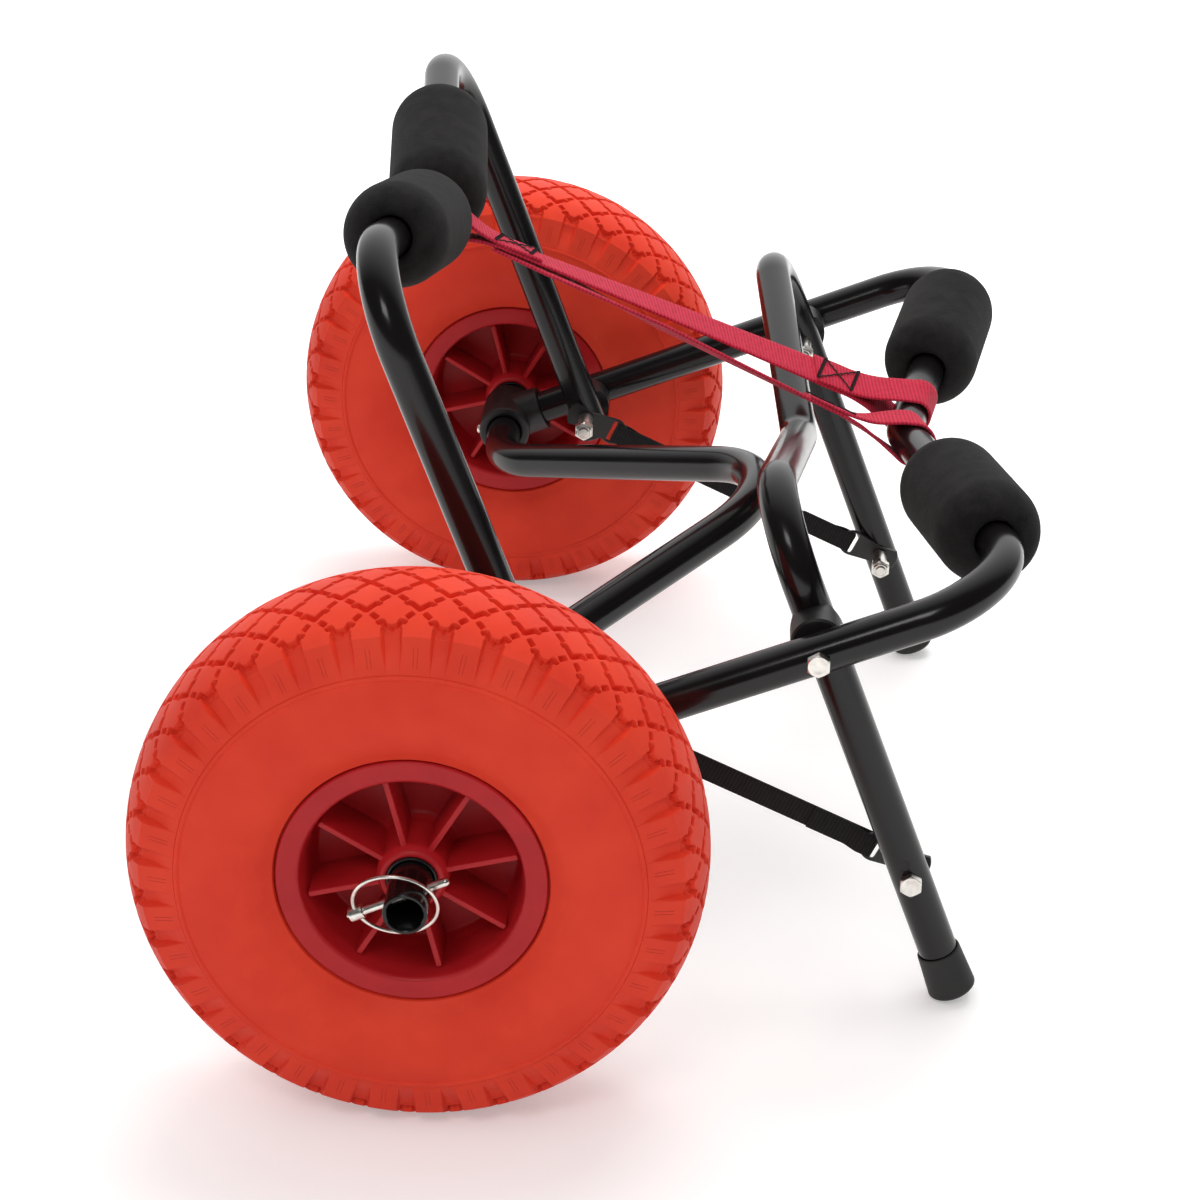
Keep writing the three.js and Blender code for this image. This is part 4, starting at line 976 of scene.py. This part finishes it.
def bracket_grid(origin, axes, y_from):
    """A flat plate shaped like a drop, between its outline and its slot's: both are taken at the
    same angles round the slot's middle, and joined across the faces and down the edges. The
    outline is the farther of its two end circles, or their common tangent between them."""
    columns = 96
    a = np.arange(columns) * 2 * math.pi / columns
    c, s = np.cos(a), np.sin(a)
    lean = math.asin((bracket_r - bracket_end_r) / bracket_reach)
    ends = []
    for centre, radius in ((0, bracket_end_r), (-bracket_reach, bracket_r)):
        b = c * centre
        inside = b ** 2 - centre ** 2 + radius ** 2
        ends.append(np.where(inside > 0, b + np.sqrt(np.maximum(inside, 0)), 0))
    toward = np.abs(s) * math.cos(lean) - c * math.sin(lean)
    edge = np.where(toward > 1e-6, bracket_end_r / np.maximum(toward, 1e-6), np.inf)
    x_edge = edge * c
    on_side = (x_edge < 1e-9 - math.sin(lean) * bracket_end_r) & (x_edge > -bracket_reach - 1e-9)
    outer = np.where(on_side, edge, np.maximum(*ends))
    slot = (np.abs(c / (slot_w / 2)) ** 6 + np.abs(s / (slot_length / 2)) ** 6) ** (-1 / 6)
    rows = [np.stack([bracket_reach + (line + out) * c, np.full(columns, y_from + y),
                      (line + out) * s], -1)
            for line, out, y in ((slot, 0, 0.3), (slot, 0.3, 0), (outer, -0.4, 0), (outer, 0, 0.4),
                                 (outer, 0, bracket_t - 0.4), (outer, -0.4, bracket_t),
                                 (slot, 0.3, bracket_t), (slot, 0, bracket_t - 0.3))]
    return placed(np.array(rows), origin, axes)


back_axes = strap_axes * np.array([[-1], [1], [-1]])
for side, way in SIDES:
    y_from = bracket_inside if way > 0 else -inner_inside
    for label, place, axes, body in (("rear", rear_pivot, strap_axes, "chassis"),
                                     ("stand", strap_bolt, back_axes, "kickstand")):
        Skin().add(bracket_grid(place, axes, y_from), wrap_rows=True).made(
            f"{side}_{label}_bracket_plate", plate, body, [f"{side}_{label}_strap_bracket"],
            "plate_black", 30)

bar_from = bracket_reach + slot_w / 2
bar_to = bracket_reach + bracket_end_r
eye_from = bar_from - gap
eye_to = bar_to + 2 * gap
eye_point = eye_to + 2 * side_strap_t + bracket_t
layer_in = bracket_inside - gap
layer_out = inner_inside + gap


def side_strap(side, way):
    """One kickstand strap: a tail, a turn round each bracket's bar, and the run between them."""
    t = side_strap_t
    end = [(eye_point + side_strap_sewn, layer_in + t / 2), (eye_point + t, layer_in + t / 2),
           (eye_to, layer_out + t / 2), (eye_from - t / 2, layer_out + t / 2),
           (eye_from - t / 2, layer_in - t / 2)]
    far = [(strap_length - x, y) for x, y in reversed(end)]
    local = [(x, way * y, 0) for x, y in end + far]
    at, _ = bent(placed(local, rear_pivot, strap_axes), (3, 3, 0.7, 0.7, 0.7, 0.7, 3, 3), 15)
    dense = [at[:1]]
    for a, b in zip(at[:-1], at[1:]):
        n = max(1, int(np.linalg.norm(b - a) // 5))
        dense.append(a + (b - a) * (np.arange(1, n + 1) / n)[:, None])
    at = np.concatenate(dense)
    grid, uv = ribbon(at, np.repeat(strap_axes[2:3], len(at), 0), side_strap_w, t, 4)
    return Skin().add(grid, caps=True, uv=uv).made(
        f"{side}_kickstand_webbing", black_web, None, [f"{side}_kickstand_strap"], "web_black")


kickstand_webbing = [side_strap(side, way) for side, way in SIDES]

# Foam pads


def frame_place(run, y):
    """A point on a frame's cross tube at y, and the tube's direction there."""
    origin, axes, corner, vertex, half_span = run
    lean = math.atan2(corner - vertex, half_span)
    local = np.array([vertex + abs(y) * math.tan(lean), y, 0])
    axis = np.array([math.sin(lean) * np.sign(y), math.cos(lean), 0])
    return placed(local, origin, axes), axis @ axes


def pad(place, body, run, bend_r, start):
    """A foam sleeve: a barrel whose ends are domes, a quarter ellipse each in section, dished
    where the tube goes in. Each section is moved across by what the tube's bends move the tube
    there, so the sleeve's ends stay round the tube."""
    mid, axis = frame_place(run, start + pad_span / 2)
    half = pad_span / axis[1] / 2
    a = np.linspace(0, math.pi / 2, 17)[1:-1]
    dome = pad_r - pad_mouth_r
    flank = half - pad_end_length
    side_line = [(pad_r, y) for y in np.linspace(0, flank, 6)]
    round_end = np.stack([pad_r - dome * (1 - np.cos(a)), flank + pad_end_length * np.sin(a)], -1)
    lip = pad_mouth_r - tube_r - 0.8
    b = np.linspace(0, math.pi / 2, 9)
    mouth = np.stack([pad_mouth_r - lip * np.sin(b), half - lip * (1 - np.cos(b))], -1)
    end = [*side_line, *round_end, *mouth, (tube_r + 0.35, half - pad_mouth_depth)]
    profile = np.array([(r, -h) for r, h in reversed(end)] + end[1:])
    at, way = bent(frame_corners(run, 0), (bend_r, vertex_bend_r, bend_r), 2)
    on_run = way @ axis > 0.5
    along = (at[on_run] - mid) @ axis
    aside = at[on_run] - mid - along[:, None] * axis
    moved = np.stack([np.interp(profile[:, 1], along, part) for part in aside.T], -1)
    grid = lathe(profile, mid, axis, 96) + moved[:, None]
    piece = Skin().add(grid, wrap_rows=True).made(
        f"{place}_foam", foam, body, [f"{place}_pad"], "foam_charcoal", 60)


for side, way in SIDES:
    start = front_pad_near if way > 0 else -front_pad_near - pad_span
    pad(f"front_{side}", "chassis", front_run, front_corner_bend_r, start)
    start = rear_left_pad_start if way > 0 else rear_right_pad_start
    pad(f"rear_{side}", "rear_cradle", rear_run, rear_corner_bend_r, start)

# Feet
foot_rows = eased([
    (pole, 0), (foot_r - foot_edge, 0), (foot_r, foot_edge), (foot_r - 0.1, foot_edge + 2),
    (foot_top_r + 0.25, foot_length - 0.6), (foot_top_r, foot_length),
    (tube_r + 0.25, foot_length), (tube_r + 0.25, foot_length - 3), (pole, foot_length - 3),
], 0.7, 4)
for side, way in SIDES:
    at = placed((-stand_leg - sole_drop, way * inner_half_span, 0), stand_pivot, stand_axes)
    Skin().add(lathe(foot_rows, at, stand_axes[0], 72), caps=True).made(
        f"{side}_rubber_foot", rubber, "kickstand", [f"{side}_foot"], "rubber_black")

# Linch pins and rings
pin_axes = arm_axes(pin_tilt)
head_from, head_to = -pin_head_reach - pin_head_length / 2, -pin_head_reach + pin_head_length / 2
pin_rows = eased([
    (pole, head_from - pin_nub_length), (pin_nub_r, head_from - pin_nub_length),
    (pin_nub_r, head_from), (pin_head_r, head_from), (pin_head_r, head_to),
    (pin_r + 0.1, head_to + 0.1), (pin_r, head_to + 0.6), (pin_r, pin_tail - 1.2),
    (pin_r - 0.9, pin_tail), (pole, pin_tail),
], 0.5, 4)
ring_start = math.asin((pin_head_r - ring_end_depth) / ring_r)
a = np.linspace(ring_start, 2 * math.pi - ring_start, 97)
flat_ring = np.stack([ring_r * (1 - np.cos(a)), np.zeros_like(a), ring_r * np.sin(a)], -1)
for side, way in SIDES:
    at = np.array([0, way * pin_station, axle_height])
    Skin().add(lathe(pin_rows, at, pin_axes[0], 48), caps=True).made(
        f"{side}_pin_turned", zinc, f"{side}_pin", [f"{side}_linch_pin"], "zinc", 40)
    turn = Matrix.Rotation(-way * ring_lean, 3, "X") @ Matrix.Rotation(way * ring_open, 3, "Z")
    local = flat_ring @ np.array(turn).T + (-pin_head_reach, 0, 0)
    Skin().add(wire(placed(local, at, pin_axes), ring_wire_r, 20), caps=True).made(
        f"{side}_ring_wire", zinc, f"{side}_ring", [f"{side}_pin_ring"], "zinc", 60)

# Cradle straps

strap_seat = tube_r + gap


def loop(centre, axis, toward, over, twist=0.0):
    """Stations of the tape's turn round a tube, from the end sewn to the band to where the band
    leaves: along the band, round the tube's far side, and back, drawn together by the seam. The
    band leaves on the side up, which is axis crossed with toward, times over; twist turns the
    sewn part about its run. Returns the stations, the width's direction at each, and the sewn
    part's up and wide."""
    up = unit(np.cross(axis, toward)) * over
    way = unit(toward)
    c, s = math.cos(twist), math.sin(twist)
    sewn_up, sewn_wide = up * c - axis * s, axis * c + up * s
    r = strap_seat + cradle_strap_t / 2
    close = cradle_strap_t / 2 + 0.05
    a0 = math.acos(r / loop_reach)
    a = np.linspace(-a0, a0 - 2 * math.pi, 33)
    turn = centre + (r * np.cos(a))[:, None] * way + (r * np.sin(a))[:, None] * up
    tail = [(loop_reach + loop_sewn, -close), (loop_reach + 12, -close),
            (loop_reach + 2, -close - 0.1), (loop_reach - 6, -close - 1.2)]
    lead = [(loop_reach - 6, close + 1.2), (loop_reach + 2, close + 0.1), (loop_reach + 12, close)]
    ends = [centre + np.outer([u for u, _ in part], way) + np.outer([o for _, o in part], sewn_up)
            for part in (tail, lead)]
    wides = np.repeat([sewn_wide, axis, sewn_wide], [len(tail), len(turn), len(lead)], 0)
    return np.concatenate([ends[0], turn, ends[1]]), wides, sewn_up, sewn_wide


def tape(name, stations, wides, nodes):
    """A crimson strap through its stations, as one piece."""
    steps = [max(1, int(round(np.linalg.norm(b - a) / 4))) for a, b in zip(stations, stations[1:])]
    at = curve_through(stations, steps)
    marks = np.r_[0, np.cumsum(steps)]
    wide = np.stack([np.interp(np.arange(len(at)), marks, part) for part in np.asarray(wides).T], -1)
    grid, uv = ribbon(at, wide, cradle_strap_w, cradle_strap_t, 8)
    return Skin().add(grid, caps=True, uv=uv).made(name, crimson, None, nodes, "web_crimson")


def stitches(name, centre, way, up, wide):
    """Black thread over the sewn part's upper face: a bar of zigzag at each end, whose crests
    alternate along the band, and a cross of running stitches between them."""
    up = up * np.sign(up[2])
    face = centre + up * (cradle_strap_t * 1.5 - 0.1)
    half = cradle_strap_w / 2 - 1.2
    near, far = loop_reach + 1.5, loop_reach + loop_sewn - 3
    skin = Skin()
    zig = np.where(np.arange(31) % 2 == 0, -0.7, 0.7)
    across = np.linspace(-half - 0.8, half + 0.8, len(zig))
    for u in (near, far):
        line = face + (u + zig)[:, None] * way + across[:, None] * wide
        skin.add(wire(line, thread_r, 6), caps=True)
    t = np.linspace(0, 1, 64)[:, None]
    bob = np.sin(t * math.pi * 14) * 0.18
    for slant in (1, -1):
        line = face + (near + (far - near) * t) * way + slant * half * (2 * t - 1) * wide + bob * up
        skin.add(wire(line, thread_r * 0.9, 6), caps=True)
    return skin.made(name, stitch_thread, None, (), "web_black")


rear_at, rear_axis = frame_place(rear_run, rear_loop_y)
left_at, left_axis = frame_place(front_run, front_loop_left_y)
right_at, right_axis = frame_place(front_run, front_loop_right_y)

left_way = unit(left_at - rear_at)
rear_turn, rear_wides, rear_up, rear_wide = loop(rear_at, rear_axis, left_way, 1)
left_turn, left_wides, left_up, left_wide = loop(left_at, left_axis, -left_way, -1)
left_tape = tape("left_cradle_webbing", np.concatenate([rear_turn, left_turn[::-1]]),
                 np.concatenate([rear_wides, left_wides[::-1]]), ["left_cradle_strap"])

# The right strap is sewn in under the left one, since rear_up points down, and sags on its way
right_drop = cradle_strap_t * 1.5 + right_strap_drop
right_from = rear_at + left_way * (loop_reach + gap) + rear_up * right_drop
right_way = unit(right_at - right_from)
right_turn, right_wides, right_up, right_wide = loop(right_at, right_axis, -right_way, -1, right_twist)
run_shares = np.array([0, 0.12, 0.4, 0.7])
run = right_from + right_way * np.linalg.norm(right_at - right_from) * run_shares[:, None]
run[:, 2] -= right_sag * (1 - np.cos(run_shares / 0.85 * math.pi)) / 2
seam_sag = right_sag * 0.8
right_turn[:4, 2] -= seam_sag
right_turn[-3:, 2] -= seam_sag
slack_wides = np.cos(slack_twists)[:, None] * right_wide + np.sin(slack_twists)[:, None] * right_up
right_tape = tape("right_cradle_webbing", np.concatenate([run, right_turn[::-1]]),
                  np.concatenate([[rear_axis, rear_axis], slack_wides, right_wides[::-1]]),
                  ["right_cradle_strap"])
seams = [
    stitches("rear_seam", rear_at, left_way, rear_up, rear_wide),
    stitches("left_front_seam", left_at, -left_way, left_up, left_wide),
    stitches("right_front_seam", right_at - (0, 0, seam_sag), -right_way, right_up, right_wide),
]

# The straps ride on no body: each one's mesh takes its object's place
for piece in (left_tape, right_tape, *seams):
    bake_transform(piece)
for piece in kickstand_webbing:
    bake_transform(piece)

# Floor, lamps and camera

floor_mesh = bpy.data.meshes.new("floor_sheet")
floor_mesh.from_pydata([(x * floor_reach, y * floor_reach, 0)
                        for x, y in ((-1, -1), (1, -1), (1, 1), (-1, 1))], [], [(0, 1, 2, 3)])
floor = bpy.data.objects.new("floor_sheet", floor_mesh)
bpy.context.scene.collection.objects.link(floor)
floor_paper = bpy.data.materials.new("white_paper_sweep")
floor_paper.use_nodes = True
t = floor_paper.node_tree
t.nodes.clear()
seen = put(t, "ShaderNodeLightPath").outputs
matt = put(t, "ShaderNodeBsdfDiffuse", {"Color": linear("f0efee")})
far = put(t, "ShaderNodeVectorMath", {0: put(t, "ShaderNodeTexCoord").outputs["Object"]},
          operation="LENGTH")
white = put(t, "ShaderNodeMapRange", {
    "Value": far.outputs["Value"], "From Min": 0.3, "From Max": 1.2, "To Min": 0.3, "To Max": 0.66,
})
shown = seen["Is Camera Ray"]
for ray in ("Is Glossy Ray", "Is Transmission Ray"):
    shown = put(t, "ShaderNodeMath", {0: shown, 1: seen[ray]}, operation="MAXIMUM").outputs[0]
glow = put(t, "ShaderNodeMath", {0: shown, 1: white.outputs[0]}, operation="MULTIPLY")
lit = put(t, "ShaderNodeEmission", {"Color": (1, 1, 1, 1), "Strength": glow.outputs[0]})
total = put(t, "ShaderNodeAddShader", {0: matt.outputs[0], 1: lit.outputs[0]})
put(t, "ShaderNodeOutputMaterial", {"Surface": total.outputs[0]})
floor_mesh.materials.append(floor_paper)

world = bpy.data.worlds.new("studio")
bpy.context.scene.world = world
world.use_nodes = True
t = world.node_tree
t.nodes.clear()
seen = put(t, "ShaderNodeLightPath").outputs
toward_back = put(t, "ShaderNodeVectorMath", {
    0: put(t, "ShaderNodeTexCoord").outputs["Object"], 1: (0, 0.82, 0.57),
}, operation="DOT_PRODUCT")
backdrop = put(t, "ShaderNodeMapRange", {
    "Value": toward_back.outputs["Value"],
    "From Min": 0.3, "From Max": 1.0, "To Min": 0.05, "To Max": 1.6,
})
plain = put(t, "ShaderNodeMath", {0: seen["Is Camera Ray"], 1: seen["Is Transmission Ray"]},
            operation="MAXIMUM")
ambient = put(t, "ShaderNodeMapRange", {"Value": plain.outputs[0], "To Min": 0.54, "To Max": 1.0})
strength = put(t, "ShaderNodeMix", {
    "Factor": seen["Is Glossy Ray"], "A": ambient.outputs[0], "B": backdrop.outputs[0],
})
sky = put(t, "ShaderNodeBackground", {"Color": (1, 1, 1, 1), "Strength": strength.outputs[0]})
put(t, "ShaderNodeOutputWorld", {"Surface": sky.outputs[0]})


def softbox(name, at, aim, size, power, glints):
    """A rectangular lamp at a place, turned to face another, which glossy things mirror or not."""
    lamp = bpy.data.lights.new(name, "AREA")
    lamp.shape = "RECTANGLE"
    lamp.size, lamp.size_y = size
    lamp.energy = power
    o = bpy.data.objects.new(name, lamp)
    o.location = at
    o.rotation_euler = (Vector(aim) - Vector(at)).to_track_quat("-Z", "Y").to_euler()
    o.visible_camera = False
    o.visible_glossy = glints
    bpy.context.scene.collection.objects.link(o)


softbox("overhead_softbox", (0.15, 0.5, 1.9), (0, 0, 0.1), (1.4, 0.9), 19, False)
softbox("back_softbox", (0.1, 2.4, 1.5), (0, 0, 0.3), (2.6, 1.0), 20, False)
softbox("front_softbox", (-0.35, -1.7, 1.75), (0, 0, 0.15), (0.75, 0.55), 8, True)

turn_c, turn_s = math.cos(camera_turn), math.sin(camera_turn)
drop_c, drop_s = math.cos(camera_drop), math.sin(camera_drop)
ahead = Vector((-turn_s * drop_c, turn_c * drop_c, -drop_s))
right = ahead.cross(Vector((0, 0, 1))).normalized()
top = right.cross(ahead)
rolled_right = right * math.cos(camera_roll) + top * math.sin(camera_roll)
rolled_top = -right * math.sin(camera_roll) + top * math.cos(camera_roll)
eye = bpy.data.cameras.new("photo_view")
eye.lens, eye.sensor_width, eye.sensor_fit = lens, sensor, "HORIZONTAL"
eye.clip_end = 50
camera = bpy.data.objects.new("photo_view", eye)
place = Matrix((rolled_right, rolled_top, -ahead)).transposed().to_4x4()
place.translation = Vector(to_row(camera_at).tolist())
camera.matrix_world = place
bpy.context.scene.collection.objects.link(camera)
bpy.context.scene.camera = camera
bpy.context.scene.view_settings.view_transform = "Standard"
